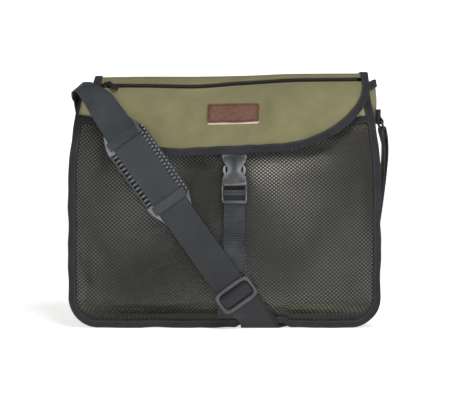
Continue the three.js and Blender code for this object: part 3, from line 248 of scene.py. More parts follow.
def fade(low, high, value):
    """Runs smoothly from 0 at low to 1 at high."""
    k = np.clip((value - low) / (high - low), 0, 1)
    return k * k * (3 - 2 * k)


seam_half = curve(BODY, "z", "half")
front_depth = curve(BODY, "z", "front")
back_depth = curve(BODY, "z", "back")
front_fullness = curve(FULLNESS, "z", "front")


def pillow(u):
    """Share of a panel's bulge across the bag: one less the fourth power of the share across, to the power
    three quarters, so that it is flat in the middle and falls off near the seams."""
    return (1 - np.clip(np.abs(u), 0, 1) ** 4) ** 0.75


def outline_half(z, out=0):
    """Half width of the seam's outline at a height, with round bottom corners, or of one that is `out`
    beyond it."""
    below = np.maximum(SEAM_BOTTOM + CORNER_RADIUS - z, 0)
    rounded = np.sqrt(np.maximum((CORNER_RADIUS + out) ** 2 - below ** 2, 0))
    return seam_half(z) - CORNER_RADIUS + rounded


# The bottom gives way where the strap passes under it
STRAP_CROSSING = 41
STRAP_SLANT = 0.7
STRAP_DENT = 5
DENT_FLAT = 24
DENT_FADE = 10
DENT_DEPTH = 36
DENT_TOP = 60


def strap_lift(x, y, z):
    """How far the bottom is lifted over the strap: full beside its middle line, fading to its sides and
    upwards."""
    aside = np.abs(x - STRAP_CROSSING - STRAP_SLANT * (np.clip(y, -DENT_DEPTH, DENT_DEPTH) + front_depth(0)))
    beside = 1 - fade(DENT_FLAT, DENT_FLAT + DENT_FADE, aside)
    return STRAP_DENT * beside * (1 - fade(SEAM_BOTTOM, DENT_TOP, z))


def panel_levels(top, out, corner_steps, side_steps):
    """Heights of a panel's rows: even angles round the bottom corners, then even steps to its top."""
    angle = np.linspace(0, math.pi / 2, corner_steps)
    corner = SEAM_BOTTOM + CORNER_RADIUS - (CORNER_RADIUS + out) * np.cos(angle)
    return np.r_[corner, np.linspace(corner[-1], top, side_steps)[1:]]


def panel_points(u, level, depth, top, sag, out):
    """A panel's places: x is a share of its half width, y its depth, and its top edge sags in the middle."""
    x = u * outline_half(level, out)
    y = depth(x / outline_half(level), level)
    hang = sag * (1 - u * u) * fade(POCKET_TOP / 2, top, level)
    return np.stack([x, y, level + strap_lift(x, y, level) - hang], axis=-1)


def panel_grid(depth, top, sag, columns=96, corner_steps=12, side_steps=60, out=SEAM_ALLOWANCE):
    """A panel as a grid, its columns closer together near the seams."""
    level = panel_levels(top, out, corner_steps, side_steps)[:, None]
    u = np.sin(np.linspace(-math.pi / 2, math.pi / 2, columns))[None] * np.ones_like(level)
    return panel_points(u, level * np.ones_like(u), depth, top, sag, out)


def slab(name, top, bottom, smooth_angle=40):
    """A closed body between two grids of like size, with its rims closed and UVs from the mean real lengths
    along its rows and columns, in metres."""
    rows, columns = top.shape[:2]
    count = rows * columns
    index = np.arange(count).reshape(rows, columns)
    ring = np.r_[index[0, :-1], index[:-1, -1], index[-1, :0:-1], index[:0:-1, 0]]
    after = np.roll(ring, -1)
    faces = grid_quads(rows, columns)
    rim = np.stack([after, ring, ring + count, after + count], axis=1)
    quads = np.vstack([faces, faces[:, ::-1] + count, rim])
    lengths = np.linalg.norm(np.diff(top, axis=1), axis=2).mean(axis=0)
    heights = np.linalg.norm(np.diff(top, axis=0), axis=2).mean(axis=1)
    u, v = np.meshgrid(np.r_[0, np.cumsum(lengths)], np.r_[0, np.cumsum(heights)])
    uv = np.stack([u, v], axis=2).reshape(-1, 2) / 1000
    points = np.vstack([top.reshape(-1, 3), bottom.reshape(-1, 3)])
    return put_mesh(name, points, quads, np.vstack([uv, uv]), smooth_angle)


def grid_normals(grid):
    """Unit normals of a grid: across its columns, then along its rows."""
    normal = np.cross(np.gradient(grid, axis=1), np.gradient(grid, axis=0))
    return normal / np.linalg.norm(normal, axis=2, keepdims=True)


def cloth_wall(name, grid, thickness, smooth_angle=40):
    """A wall of cloth: half its thickness to either side of a grid."""
    offset = grid_normals(grid) * thickness / 2
    return slab(name, grid + offset, grid - offset, smooth_angle)


# Waxed cotton canvas, plain woven: a matt olive cloth whose thread shows as a fine even grain, with
# slightly lighter and darker stretches. The threads are drawn 1.3 mm apart, twice the real, so they show.
THREAD = 1.3
MOTTLE = 38  # width of the lighter and darker stretches
SLUB = 2.38  # length of the thicker stretches of thread
BAND = math.pi / 10  # one band of Blender's wave texture at scale 1
CANVAS_SHADE = {"base": 0.19, "mottle": 0.4, "slub": 0.14, "weave": 0.18}


def thread_rows(material, way, pitch):
    """Rows of round threads: sine bands across one way of the cloth's UV map, one in each `pitch`
    millimetres."""
    cloth = add(material, "ShaderNodeUVMap", uv_map="cloth").outputs["UV"]
    rows = add(material, "ShaderNodeTexWave", {"Vector": cloth, "Scale": BAND / (pitch / 1000)},
               wave_type="BANDS", bands_direction=way)
    return rows.outputs["Fac"]


def grain(material, size, detail):
    """Soft uneven shares from 0 to 1 all through a piece, in patches of one size in millimetres."""
    place = add(material, "ShaderNodeTexCoord").outputs["Object"]
    noise = add(material, "ShaderNodeTexNoise", {"Vector": place, "Scale": 1000 / size, "Detail": detail})
    return noise.outputs["Fac"]


def finish(material, share, stops, painted_light_shade=(), relief=None, strength=1, depth=1):
    """Gives a material its colour: a share from 0 to 1 through stops from dark to light, then changed to
    another colour by the share of each kind of painted light and shade, highlights among them, which is
    worked out or kept on the piece's points. A relief, where there is one, has a depth in millimetres."""
    tree = material.node_tree
    shader = tree.nodes["Principled BSDF"]
    colour = add(material, "ShaderNodeValToRGB", {"Fac": share}, stops).outputs["Color"]
    for painted_mark, changed in painted_light_shade:
        if isinstance(painted_mark, str):
            painted_mark = add(material, "ShaderNodeAttribute", attribute_name=painted_mark).outputs["Fac"]
        mix = add(material, "ShaderNodeMix",
                  {"Factor": painted_mark, 6: colour, 7: linear(changed)}, data_type="RGBA")
        colour = mix.outputs[2]
    tree.links.new(colour, shader.inputs["Base Color"])
    if relief is not None:
        bump = add(material, "ShaderNodeBump",
                   {"Height": relief, "Strength": strength, "Distance": depth / 1000})
        tree.links.new(bump.outputs["Normal"], shader.inputs["Normal"])


def canvas_material(name, dark, light, painted_light_shade=()):
    """Canvas: shades from two grains and the weave, and relief from the weave. Where the cloth's own values
    call for painted light or painted shade, it has another colour."""
    canvas = surface(name, Roughness=0.82, Sheen_Weight=0.05, Sheen_Roughness=0.5, Specular_IOR_Level=0.2)
    warp, weft = [thread_rows(canvas, way, THREAD) for way in "XY"]
    weave = add(canvas, "ShaderNodeMath", {0: warp, 1: weft}, operation="MULTIPLY").outputs["Value"]
    parts = {"mottle": grain(canvas, MOTTLE, 3), "slub": grain(canvas, SLUB, 2), "weave": weave}
    shade = CANVAS_SHADE["base"]
    for part, share in parts.items():
        total = add(canvas, "ShaderNodeMath", {0: share, 1: CANVAS_SHADE[part], 2: shade},
                    operation="MULTIPLY_ADD")
        shade = total.outputs["Value"]
    finish(canvas, shade, ((0.33, dark), (0.7, light)), painted_light_shade, weave, 0.35, 0.3)
    return canvas


olive_canvas = canvas_material("waxed_olive_canvas", "#69664D", "#88845E")
# The front panel's canvas carries painted light and shade: a darker olive base as painted shade, pale
# painted light behind the net and along its top, and dark painted shade along its bottom
canvas_painted_light_shade = canvas_material("olive_canvas_painted_light_shade", "#54523C", "#7A7656",
                                (("net_painted_light", "#A3A297"), ("painted_light", "#C6C294"), ("painted_shade", "#2C2C29")))


def dress(piece, material, slot, *nodes):
    """Gives a piece its material, lets it ride on the bag and stand for CAD nodes. Its slot is not used."""
    piece.data.materials.append(material)
    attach(piece, "root")
    if nodes:
        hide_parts(*nodes)
    return piece


def front_y(u, z):
    """The front panel's least depth: its seam's, and its share of the bulge before it."""
    return -front_depth(z) - FRONT_BULGE * front_fullness(z) * pillow(u)


# Net pocket: black net with a staggered field of small holes, sewn in with the front panel round three
# sides and open at its bound top. It stands out over what is in it and is tucked in above the bottom seam.
NET = 1.0
NET_BULGE = 22
LAYER_GAP = 0.25
POCKET_SAG = 12
NET_PITCH = (5.1, 4.7)  # one repeat of the net across and up: two holes
HOLE_SHARE = 0.62  # a hole's size as a share of the mesh that it lies in
NET_CORD = 0.6  # the drawn cords' thickness
KNOT = 0.2  # how far the crossings stand out
NET_PATCH = 16.67  # width of its lighter and darker patches
CORD_TWIST = 0.4  # the thread in its cords
NET_TRIM = 0.2  # how far the net's edge stays inside the canvas's
NET_CLEAR = 0.3  # between the net and the canvas at its furthest back
NET_RIPPLE = {"seed": 5, "height": 0.5, "wavelength": 60}
TUCK_ROOM = 4  # how far the tucks press the canvas back
TUCK_HEIGHTS = (12, 20, 28, 50)  # where that room begins, is full, ends being full, and ends
NET_LAYER = -(NET / 2 + CLOTH / 2 + LAYER_GAP)
net_fullness = curve(FULLNESS, "z", "net")

# Tucks and swells: middle x and z, length and width, turn from level in degrees, and depth to the back
NET_FOLDS = (
    (-70, 23, 95, 5, 0, 9),
    (115, 23, 55, 5, 0, 9),
    (-168, 72, 42, 5, 90, 7),
    (-150, 60, 60, 14, 35, 2.5),
    (165, 60, 50, 12, -40, 2.5),
    (-120, 150, 70, 20, 62, -1.5),
    (110, 215, 80, 16, 12, 1.5),
    (60, 60, 80, 25, 55, -1.5),
)


def folds(x, z, table):
    """The sum of long soft ridges: each falls off across its line as a bell, and flatly along it."""
    total = np.zeros_like(x)
    for middle_x, middle_z, length, width, turn, depth in table:
        cos, sin = math.cos(math.radians(turn)), math.sin(math.radians(turn))
        along = (x - middle_x) * cos + (z - middle_z) * sin
        aside = (z - middle_z) * cos - (x - middle_x) * sin
        total += depth * np.exp(-(aside / width) ** 2 - (along / length) ** 4)
    return total


RIPPLES = 7
TURN = 6.28  # about a full turn, as an angle
RIPPLE_LEAST = (0, 0, 0.7)  # a wave's way and phase as angles, and its stretch
RIPPLE_MOST = (TURN / 2, TURN, 1.5)
RIPPLE_SUM = 2.6  # about what that many waves of height one come to


def ripple(x, z, seed, height, wavelength):
    """Low uneven waves in cloth: the sum of plane waves of about one length, with ways, phases and stretches
    by a seed."""
    random = np.random.default_rng(seed)
    total = np.zeros_like(x)
    for way, phase, stretch in random.uniform(RIPPLE_LEAST, RIPPLE_MOST, (RIPPLES, 3)):
        total += np.sin((x * math.cos(way) + z * math.sin(way)) * TURN / (wavelength * stretch) + phase)
    return total * height / RIPPLE_SUM


def tucked_y(u, z):
    """The furthest back that the front panel lies: its plain depth, and room for the tucks at the bottom."""
    room = TUCK_ROOM * fade(*TUCK_HEIGHTS[:2], z) * (1 - fade(*TUCK_HEIGHTS[2:], z))
    return front_y(u, z) + room * pillow(u)


def net_y(u, z):
    """The net's depth: like the front panel's with a larger bulge, with its tucks and waves."""
    x = u * outline_half(z)
    held = pillow(u) ** 0.5
    plain = -front_depth(z) + NET_LAYER - NET_BULGE * net_fullness(z) * pillow(u)
    limit = tucked_y(u, z) - CLOTH / 2 - NET
    worked = plain + (folds(x, z, NET_FOLDS) + ripple(x, z, **NET_RIPPLE)) * held
    return np.minimum(worked, limit - NET_CLEAR)


# Where the canvas lies further behind the net and is painted darker as shade, among them the painted shadow
# under the flap's hem and behind the buckle: middle x and z, length and width, turn, and depth
FRONT_HOLLOWS = (
    (-75, 72, 72, 40, 25, 10),
    (-26, 165, 34, 28, 70, 13),
    (10, 172, 30, 12, 90, 9),
    (34, 112, 70, 26, -50, 6),
    (-146, 195, 40, 9, 75, 4),
    (-150, 105, 36, 8, -60, 4),
    (172, 175, 60, 7, 90, 7),
    (70, 214, 120, 5, 3, 4),
    (120, 120, 70, 14, 48, 2.5),
    (-166, 70, 24, 4.5, -68, 6),
)
HOLLOW_DEEP = 9  # depth of a hollow at which the pale painted light behind the net is gone
FRONT_ALLOWANCE = 7.5  # its cloth beyond the seam, to the fold of the tape
FRONT_CLEAR = 0.2  # between the net and the canvas where they touch
FILLED_TO = (225, 246)  # heights between which the canvas comes away from the net

# Its painted light and shade: heights between which each kind begins or ends, and shares. The upper right
# gets less painted light behind the net.
TOP_PAINTED_LIGHT_FROM = (232, 244)
NET_LIGHT_FROM = (24, 40)
NET_LIGHT_LOW = 0.2
NET_LIGHT_LESS = {"x": (40, 170), "z": (110, 210), "share": 0.8}
PAINTED_SHADE_TO = (12, 26)
PAINTED_SHADE_SHARE = 0.75


def filled_front_y(u, z):
    """The front panel pushed out by what is in the bag: up against the net, but for the hollows, as far
    up as the pocket goes."""
    gap = (NET + CLOTH) / 2 + FRONT_CLEAR + np.maximum(folds(u * outline_half(z), z, FRONT_HOLLOWS), 0)
    pushed = net_y(u, z) + gap
    behind_net = pillow(u) ** 0.5 * (1 - fade(*FILLED_TO, z))
    plain = front_y(u, z)
    return plain + (np.minimum(pushed, tucked_y(u, z)) - plain) * behind_net


def paint(piece, name, values):
    """Keeps one number for each point of a piece's mesh, for its material to read."""
    layer = piece.data.attributes.new(name, "FLOAT", "POINT")
    layer.data.foreach_set("value", np.asarray(values, np.float32).ravel())


# The front panel itself, now that the net before it is known
front_grid = panel_grid(filled_front_y, SEAM_TOP, FRONT_SAG, columns=180, corner_steps=14, side_steps=100,
                        out=FRONT_ALLOWANCE)
front = cloth_wall("front_panel_canvas", front_grid, CLOTH)
front_x, front_z = front_grid[..., 0], front_grid[..., 2]
# Painted light and shade on the canvas: pale painted light where it lies behind the net, taken away in the
# hollows as painted shade and lessened towards the bottom and at the upper right; pale painted light along
# its top; dark painted shade along the bottom seam
above = fade(*TOP_PAINTED_LIGHT_FROM, front_z)
near_net = np.clip(1 - folds(front_x, front_z, FRONT_HOLLOWS) / HOLLOW_DEEP, 0, 1)
net_light_less = NET_LIGHT_LESS["share"] * fade(*NET_LIGHT_LESS["x"], front_x) * fade(*NET_LIGHT_LESS["z"], front_z)
upwards = NET_LIGHT_LOW + (1 - NET_LIGHT_LOW) * fade(*NET_LIGHT_FROM, front_z)
net_painted_light = near_net * upwards * (1 - net_light_less) * (1 - above)
painted_shade = PAINTED_SHADE_SHARE * (1 - fade(*PAINTED_SHADE_TO, front_z))
for painted_mark, share in (("net_painted_light", net_painted_light), ("painted_light", above), ("painted_shade", painted_shade)):
    paint(front, painted_mark, np.stack([share, 0 * share]))
dress(front, canvas_painted_light_shade, "olive_canvas", "front_panel")


def net_lattice():
    """The net as arrays: knots on a staggered lattice, and in each mesh between four knots a smaller
    diamond hole. Gives (share across, height) of the points, their lift, and the faces round the holes."""
    columns = round(2 * (BODY["half"][0] + SEAM_ALLOWANCE) / NET_PITCH[0])
    rows = round((POCKET_TOP + SEAM_ALLOWANCE - SEAM_BOTTOM) / NET_PITCH[1])
    i, j = np.meshgrid(np.arange(2 * columns + 1), np.arange(2 * rows + 1))
    knot = (i + j) % 2 == 0
    number = np.cumsum(knot.ravel()).reshape(knot.shape) - 1
    hole_i, hole_j = [index[1:-1, 1:-1][~knot[1:-1, 1:-1]] for index in (i, j)]
    steps = np.array([(1, 0), (0, 1), (-1, 0), (0, -1)])
    corner = number[hole_j[:, None] + steps[:, 1], hole_i[:, None] + steps[:, 0]]
    rim_i = hole_i[:, None] + HOLE_SHARE * steps[:, 0]
    rim_j = hole_j[:, None] + HOLE_SHARE * steps[:, 1]
    rim = knot.sum() + np.arange(rim_i.size).reshape(-1, 4)
    quads = np.stack([corner, np.roll(corner, -1, 1), np.roll(rim, -1, 1), rim], axis=2).reshape(-1, 4)
    share = np.r_[i[knot], rim_i.ravel()] / columns - 1
    height = np.r_[j[knot], rim_j.ravel()] / (2 * rows)
    lift = np.r_[np.full(knot.sum(), KNOT), np.zeros(rim_i.size)]
    return share, height, lift, quads


share, height, lift, net_quads = net_lattice()
net_low = SEAM_BOTTOM - SEAM_ALLOWANCE
net_level = net_low + height * (POCKET_TOP - net_low)
net_middle = panel_points(share, net_level, net_y, POCKET_TOP, POCKET_SAG, SEAM_ALLOWANCE - NET_TRIM)
net_front = net_middle - np.stack([0 * lift, NET_CORD / 2 + lift, 0 * lift], axis=1)
net_back = net_middle + np.array([0, NET_CORD / 2, 0])
net_edges = np.stack([net_quads, np.roll(net_quads, -1, 1)], axis=2).reshape(-1, 2)
first_seen, seen = np.unique(np.sort(net_edges, axis=1), axis=0, return_index=True, return_counts=True)[1:]
rim_from, rim_to = net_edges[first_seen[seen == 1]].T
net_rims = np.stack([rim_to, rim_from, rim_from + len(share), rim_to + len(share)], axis=1)
net = put_mesh("net_pocket_mesh", np.vstack([net_front, net_back]),
               np.vstack([net_quads, net_quads[:, ::-1] + len(share), net_rims]),
               np.tile(net_front[:, [0, 2]] / 1000, (2, 1)), 60)

# Black nylon net: smooth cords of twisted thread that catch a little light on their crowns
black_net = surface("black_nylon_net", Roughness=0.55, Specular_IOR_Level=0.35)
finish(black_net, grain(black_net, NET_PATCH, 3), ((0.35, "#1B1B1C"), (0.7, "#272728")),
       relief=grain(black_net, CORD_TWIST, 1), strength=0.3, depth=0.2)
dress(net, black_net, "black_net", "net_pocket")


# Gusset: one strip of olive canvas down the left side, along the bottom and up the right side, joining the
# front and the back. It bows out at the sides, sags at the bottom, and its two ends are open and bound.
GUSSET_SAG = 3
GUSSET_STRAIGHT = 3.8
GUSSET_RIPPLE = {"seed": 11, "height": 0.5, "wavelength": 55}
GUSSET_RISE = {"left": 0, "right": 8}
GUSSET_BOW = {
    "z": (10, 150, 230, 250, 270, 286),
    "left": (3, 3, 4, 4, 4, 4),
    "right": (3, 4, 10.5, 13.5, 18, 19),
}
bow_left = curve(GUSSET_BOW, "z", "left")
bow_right = curve(GUSSET_BOW, "z", "right")
GUSSET_FRONT_LAYER = CLOTH + LAYER_GAP
BACK_LAYER = (CLOTH + LAYER_GAP) / 2


def on_bottom(z):
    """Whether a place of the seam lies on its straight bottom."""
    return z <= SEAM_BOTTOM + 1e-6


def seam_path(side_steps, corner_steps, bottom_steps):
    """The seam as arrays: down the left side, round the bottom corners and up the right side, as x, z and
    the outward normal in that plane."""
    side_z = np.linspace(SEAM_TOP, SEAM_BOTTOM + CORNER_RADIUS, side_steps)
    angle = np.linspace(0, math.pi / 2, corner_steps)[1:]
    corner_z = SEAM_BOTTOM + CORNER_RADIUS * (1 - np.sin(angle))
    left_z = np.r_[side_z, corner_z]
    foot = outline_half(np.array([SEAM_BOTTOM]))[0]
    bottom_x = np.linspace(-foot, foot, bottom_steps)[1:-1]
    x = np.r_[-outline_half(left_z), bottom_x, outline_half(left_z)[::-1]]
    z = np.r_[left_z, np.full(len(bottom_x), SEAM_BOTTOM), left_z[::-1]]
    along_x, along_z = np.gradient(x), np.gradient(z)
    length = np.hypot(along_x, along_z)
    flat = on_bottom(z)
    return x, z, np.where(flat, 0, along_z / length), np.where(flat, -1, -along_x / length)


def beyond_seam(seam, out, y):
    """Places that lie `out` beyond the seam in its own plane, at depth y."""
    x, z, normal_x, normal_z = seam
    return np.stack([x + normal_x * out, y + 0 * x, z + normal_z * out + strap_lift(x, y, z)], axis=-1)


def gusset_grid(seam, share):
    """The gusset: straight behind each seam, then bowed as a parabola between them."""
    x, z = seam[0][:, None], seam[1][:, None]
    y_front = -front_depth(z) + GUSSET_FRONT_LAYER
    y_back = back_depth(z) - BACK_LAYER
    y = y_front + (y_back - y_front) * share
    straight = GUSSET_STRAIGHT / (y_back - y_front)
    swell = np.maximum(1 - ((2 * share - 1) / (1 - 2 * straight)) ** 2, 0)
    bow = np.where(on_bottom(z), GUSSET_SAG, np.where(x < 0, bow_left(z), bow_right(z)))
    worked = bow * swell + ripple(z + 0 * y, y, **GUSSET_RIPPLE) * swell
    seam_2d = [column[:, None] + 0 * share for column in seam]
    points = beyond_seam(seam_2d, worked, y)
    rise = np.where(x < 0, GUSSET_RISE["left"], GUSSET_RISE["right"]) * fade(POCKET_TOP, SEAM_TOP, z)
    points[..., 2] += rise * swell
    return points


seam = seam_path(side_steps=70, corner_steps=14, bottom_steps=80)
gusset_share = np.linspace(0, 1, 26)[None]
gusset_middle = gusset_grid(seam, gusset_share)
turned_out = [beyond_seam(seam, SEAM_ALLOWANCE, gusset_middle[:, k, 1])[:, None] for k in (0, -1)]
gusset_whole = np.concatenate([turned_out[0], gusset_middle, turned_out[1]], axis=1)
gusset = cloth_wall("gusset_canvas", gusset_whole, CLOTH)
dress(gusset, olive_canvas, "olive_canvas", "gusset")


# Back panel: one piece of olive canvas up the back and over the top as far as the zip. It is nearly flat,
# and rolls over the top in a soft fold.
BACK_BULGE = 5
BACK_RIPPLE = {"seed": 23, "height": 0.7, "wavelength": 70}
BACK_HALF = 177  # half its width, for its waves
COVER = {
    "s": (-18, -9, 0, 5, 10, 18, 30, 50, 70, 100),
    "drop": (10, 3, 0, 5, 10, 18, 30, 50, 70, 100),
    "middle": (18.5, 11, 0, -10, -17, -25.5, -34.5, -46, -55.5, -66.5),
    "side": (18.5, 11, 0, -10, -16.5, -24, -30.5, -37.5, -43.5, -50),
}
TOP_LINE = {
    "x": (-165, -90, -40, 20, 90, 180),
    "fold": (300.5, 301.5, 301.5, 302.5, 305, 305.5),
    "zip": (10.5, 11.5, 12.5, 9.5, 8, 7.5),
    "hem": (202.5, 206, 208.5, 211.5, 215, 219),
}
FLAP_CENTRE = 8.4
FLAP_HALF_WIDTH = 164
ZIP_GAP = 2.7
TAPE_REACH = 9.4
LINE = {"x": -154.5, "z": 279, "down_x": 0.58, "down_z": -0.8146}  # the strap's line down the front
STRAP_PRESS = 6.5
PRESS_FLAT = 26
PRESS_FADE = 45
PRESS_RUN = (30, 80)  # between which, down the section, the strap comes to press
EDGE_RUN = {"s": (-30, -18, -9, 0), "share": (0, 0.35, 0.75, 1)}
back_fullness = curve(FULLNESS, "z", "back")
cover_drop = curve(COVER, "s", "drop")
cover_middle = curve(COVER, "s", "middle")
cover_side = curve(COVER, "s", "side")
fold_height = curve(TOP_LINE, "x", "fold")
zip_drop = curve(TOP_LINE, "x", "zip")
hem_height = curve(TOP_LINE, "x", "hem")


def back_y(u, z):
    """The back panel's depth: its seam's, and its share of the bulge behind it, with low waves."""
    wave = ripple(u * BACK_HALF, z, **BACK_RIPPLE) * pillow(u) ** 0.5
    return back_depth(z) + BACK_LAYER + BACK_BULGE * back_fullness(z) * pillow(u) + wave


def free_of_strap(x, z):
    """Runs from 0 along the strap's line down the front to 1 well beside it."""
    aside = np.abs((x - LINE["x"]) * LINE["down_z"] - (z - LINE["z"]) * LINE["down_x"])
    return fade(PRESS_FLAT, PRESS_FLAT + PRESS_FADE, aside)


def cover(x, s):
    """The cloth over the top: s runs along its section from the back seam, over the fold and down the
    flap. The strap presses it back along its line."""
    share = pillow((x - FLAP_CENTRE) / (FLAP_HALF_WIDTH + TAPE_REACH))
    z = fold_height(x) - cover_drop(s)
    press = STRAP_PRESS * (1 - free_of_strap(x, z)) * fade(*PRESS_RUN, s)
    y = cover_side(s) + (cover_middle(s) - cover_side(s)) * share + press
    return np.stack(np.broadcast_arrays(x, y, z), axis=-1)


def flap_x(u):
    """The place across at a share of the flap's half width."""
    return FLAP_CENTRE + u * FLAP_HALF_WIDTH


def over_top(u, share, past_zip):
    """The cloth from the back seam over the fold: a share of the way to a line that lies past the zip's, as
    wide as the seam at first and as the flap at last."""
    start = COVER["s"][0]
    s = start + share * (zip_drop(flap_x(u)) + past_zip - start)
    run = np.interp(s, EDGE_RUN["s"], EDGE_RUN["share"])
    return cover(u * outline_half(np.array(SEAM_TOP)) * (1 - run) + flap_x(u) * run, s)


back_grid = panel_grid(back_y, SEAM_TOP, 0)
back_u = np.sin(np.linspace(-math.pi / 2, math.pi / 2, back_grid.shape[1]))[None]
over_grid = over_top(back_u, np.linspace(0, 1, 22)[:, None], -ZIP_GAP)
back = cloth_wall("back_panel_canvas", np.concatenate([back_grid, over_grid]), CLOTH)
dress(back, olive_canvas, "olive_canvas", "back_panel")


# Flap: one piece of olive canvas from the zip down over the front, with large round lower corners. It lies
# in soft shallow dents, and is pressed back where the strap crosses it.
FLAP_CORNER = 0.63
FLAP_CORNER_START = 0.07
FLAP_CORNER_POWER = 1.8
FLAP_RIPPLE = {"seed": 3, "height": 1.1, "wavelength": 44}
FLAP_CREASES = {"seed": 8, "height": 0.35, "wavelength": 17}
HEM_HELD = {"from": 0.76, "to": 0.94, "share": 0.95}  # shares of its length where its hem holds it flat
TOP_HELD = 0.25  # share of its length over which the zip still holds it flat
SIDE_POWER = 6  # how near to its sides it begins to be held
# Dents and swells: middle x and z, length and width, turn from level in degrees, and depth to the back
FLAP_FOLDS = (
    (-28, 262, 22, 9, 80, 2.6),
    (45, 262, 26, 9, 86, 2.4),
    (70, 228, 26, 7, 22, 2.6),
    (-60, 235, 30, 14, 60, 2.2),
    (110, 258, 30, 12, 70, 2.2),
    (0, 232, 60, 10, 4, -1.4),
    (140, 270, 24, 9, 60, -1.8),
    (95, 222, 34, 6, 8, 1.6),
    (59, 262, 26, 7, 86, -1.6),
    (84, 240, 28, 7, 22, -1.4),
    (-13, 262, 22, 8, 80, -1.2),
    (-40, 240, 30, 9, 60, -1.2),
)


def flap_half(t):
    """Half the flap's width at a share of its length: straight, then a rounded corner."""
    k = np.clip((t - FLAP_CORNER_START) / (1 - FLAP_CORNER_START), 0, 1)
    rounded = (1 - k ** FLAP_CORNER_POWER) ** (1 / FLAP_CORNER_POWER)
    return FLAP_HALF_WIDTH * (1 - FLAP_CORNER * (1 - rounded))


def flap_place(u, t):
    """A place on the flap: a share of its half width, and a share of the way from the zip to its hem."""
    x = FLAP_CENTRE + u * flap_half(t)
    top = zip_drop(x) + ZIP_GAP
    return x, top + t * (fold_height(x) - hem_height(x) - top)


def flap_dents(x, z):
    """How far the flap's cloth lies behind its smooth shape: its folds and waves, which the strap presses
    flat, and smaller waves."""
    large = folds(x, z, FLAP_FOLDS) + ripple(x, z, **FLAP_RIPPLE)
    return large * free_of_strap(x, z) + ripple(x, z, **FLAP_CREASES)


def flap_points(u, t):
    """The flap's cloth, with its dents and waves moved along y and held at its edges."""
    points = cover(*flap_place(u, t))
    held = HEM_HELD["share"] * fade(HEM_HELD["from"], HEM_HELD["to"], t)
    loose = np.clip(t / TOP_HELD, 0, 1) * (1 - np.clip(np.abs(u), 0, 1) ** SIDE_POWER) * (1 - held)
    x, z = points[..., 0], points[..., 2]
    points[..., 1] += flap_dents(x, z) * loose
    return points


flap_t = (1 - np.cos(np.linspace(0, math.pi, 60))) / 2
flap_u = np.sin(np.linspace(-math.pi / 2, math.pi / 2, 120))
flap_u, flap_t = np.meshgrid(flap_u, flap_t)
flap = cloth_wall("flap_canvas", flap_points(flap_u, flap_t), CLOTH)
dress(flap, olive_canvas, "olive_canvas", "flap")


# Bindings: black woven tape folded in half over every cut edge and sewn through, round the two body seams,
# the pocket's top, the flap and the gusset's two open ends. It waves a little between its stitches.
TAPE = 1.0
TAPE_CLEAR = 0.35
TAPE_WAVE = {"height": 0.22, "wavelength": 24}
SLACK_LENGTH = 60  # from one slack stretch to the next
TAPE_INSIDE = TAPE_REACH - TAPE - TAPE_CLEAR
FLANGE = SEAM_BOTTOM - TAPE - TAPE_CLEAR
FRONT_STACK = CLOTH / 2 + GUSSET_FRONT_LAYER
BACK_STACK = BACK_LAYER + CLOTH / 2


def unit(vectors):
    """Vectors at length one."""
    return vectors / np.linalg.norm(vectors, axis=-1, keepdims=True)


def blocks(name, middle, ways, halves):
    """Many small boxes as one mesh: middles, three unit ways for each, and three half sizes."""
    signs = np.array([(-1, -1, -1), (1, -1, -1), (1, 1, -1), (-1, 1, -1),
                      (-1, -1, 1), (1, -1, 1), (1, 1, 1), (-1, 1, 1)]) * np.array(halves)
    points = middle[:, None] + np.einsum("kc,ncd->nkd", signs, ways)
    faces = np.array([(3, 2, 1, 0), (4, 5, 6, 7), (0, 1, 5, 4), (1, 2, 6, 5), (2, 3, 7, 6), (3, 0, 4, 7)])
    quads = (np.arange(len(middle))[:, None, None] * 8 + faces).reshape(-1, 4)
    return put_mesh(name, points.reshape(-1, 3), quads, smooth_angle=20)


def stitch_row(name, line, out, pitch, halves, material, slot):
    """Stitches along a line: even steps of thread lying along it, each half sunk in what it holds."""
    length = np.r_[0, np.cumsum(np.linalg.norm(np.diff(line, axis=0), axis=1))]
    at = np.arange(pitch / 2, length[-1], pitch)
    middle, outward = [np.stack([np.interp(at, length, column) for column in values.T], axis=1)
                       for values in (line, out)]
    along = unit(np.gradient(middle, axis=0))
    side = unit(np.cross(outward, along))
    ways = np.stack([along, side, unit(np.cross(along, side))], axis=1)
    return dress(blocks(name, middle, ways, halves), material, slot)


THREAD_TWIST = 1.11


def thread_material(name, dark, light):
    """Twisted thread: a narrow range of one colour with a slight gloss."""
    thread = surface(name, Roughness=0.6)
    finish(thread, grain(thread, THREAD_TWIST, 2), ((0, dark), (1, light)))
    return thread


TAPE_STITCH = {"inside": 6.4, "pitch": 3.2, "halves": (1.05, 0.32, 0.22)}
TAPE_POINTS = (6, 4, 2, 0.4)  # where the tape's flat sides have points, inside the edge
# Its round nose: shares of its reach beyond the edge, and of its half thickness there
TAPE_NOSE = ((0.75, 0.86), (1, 0.5))
black_thread = thread_material("black_polyester_thread", "#2C2C2F", "#414145")


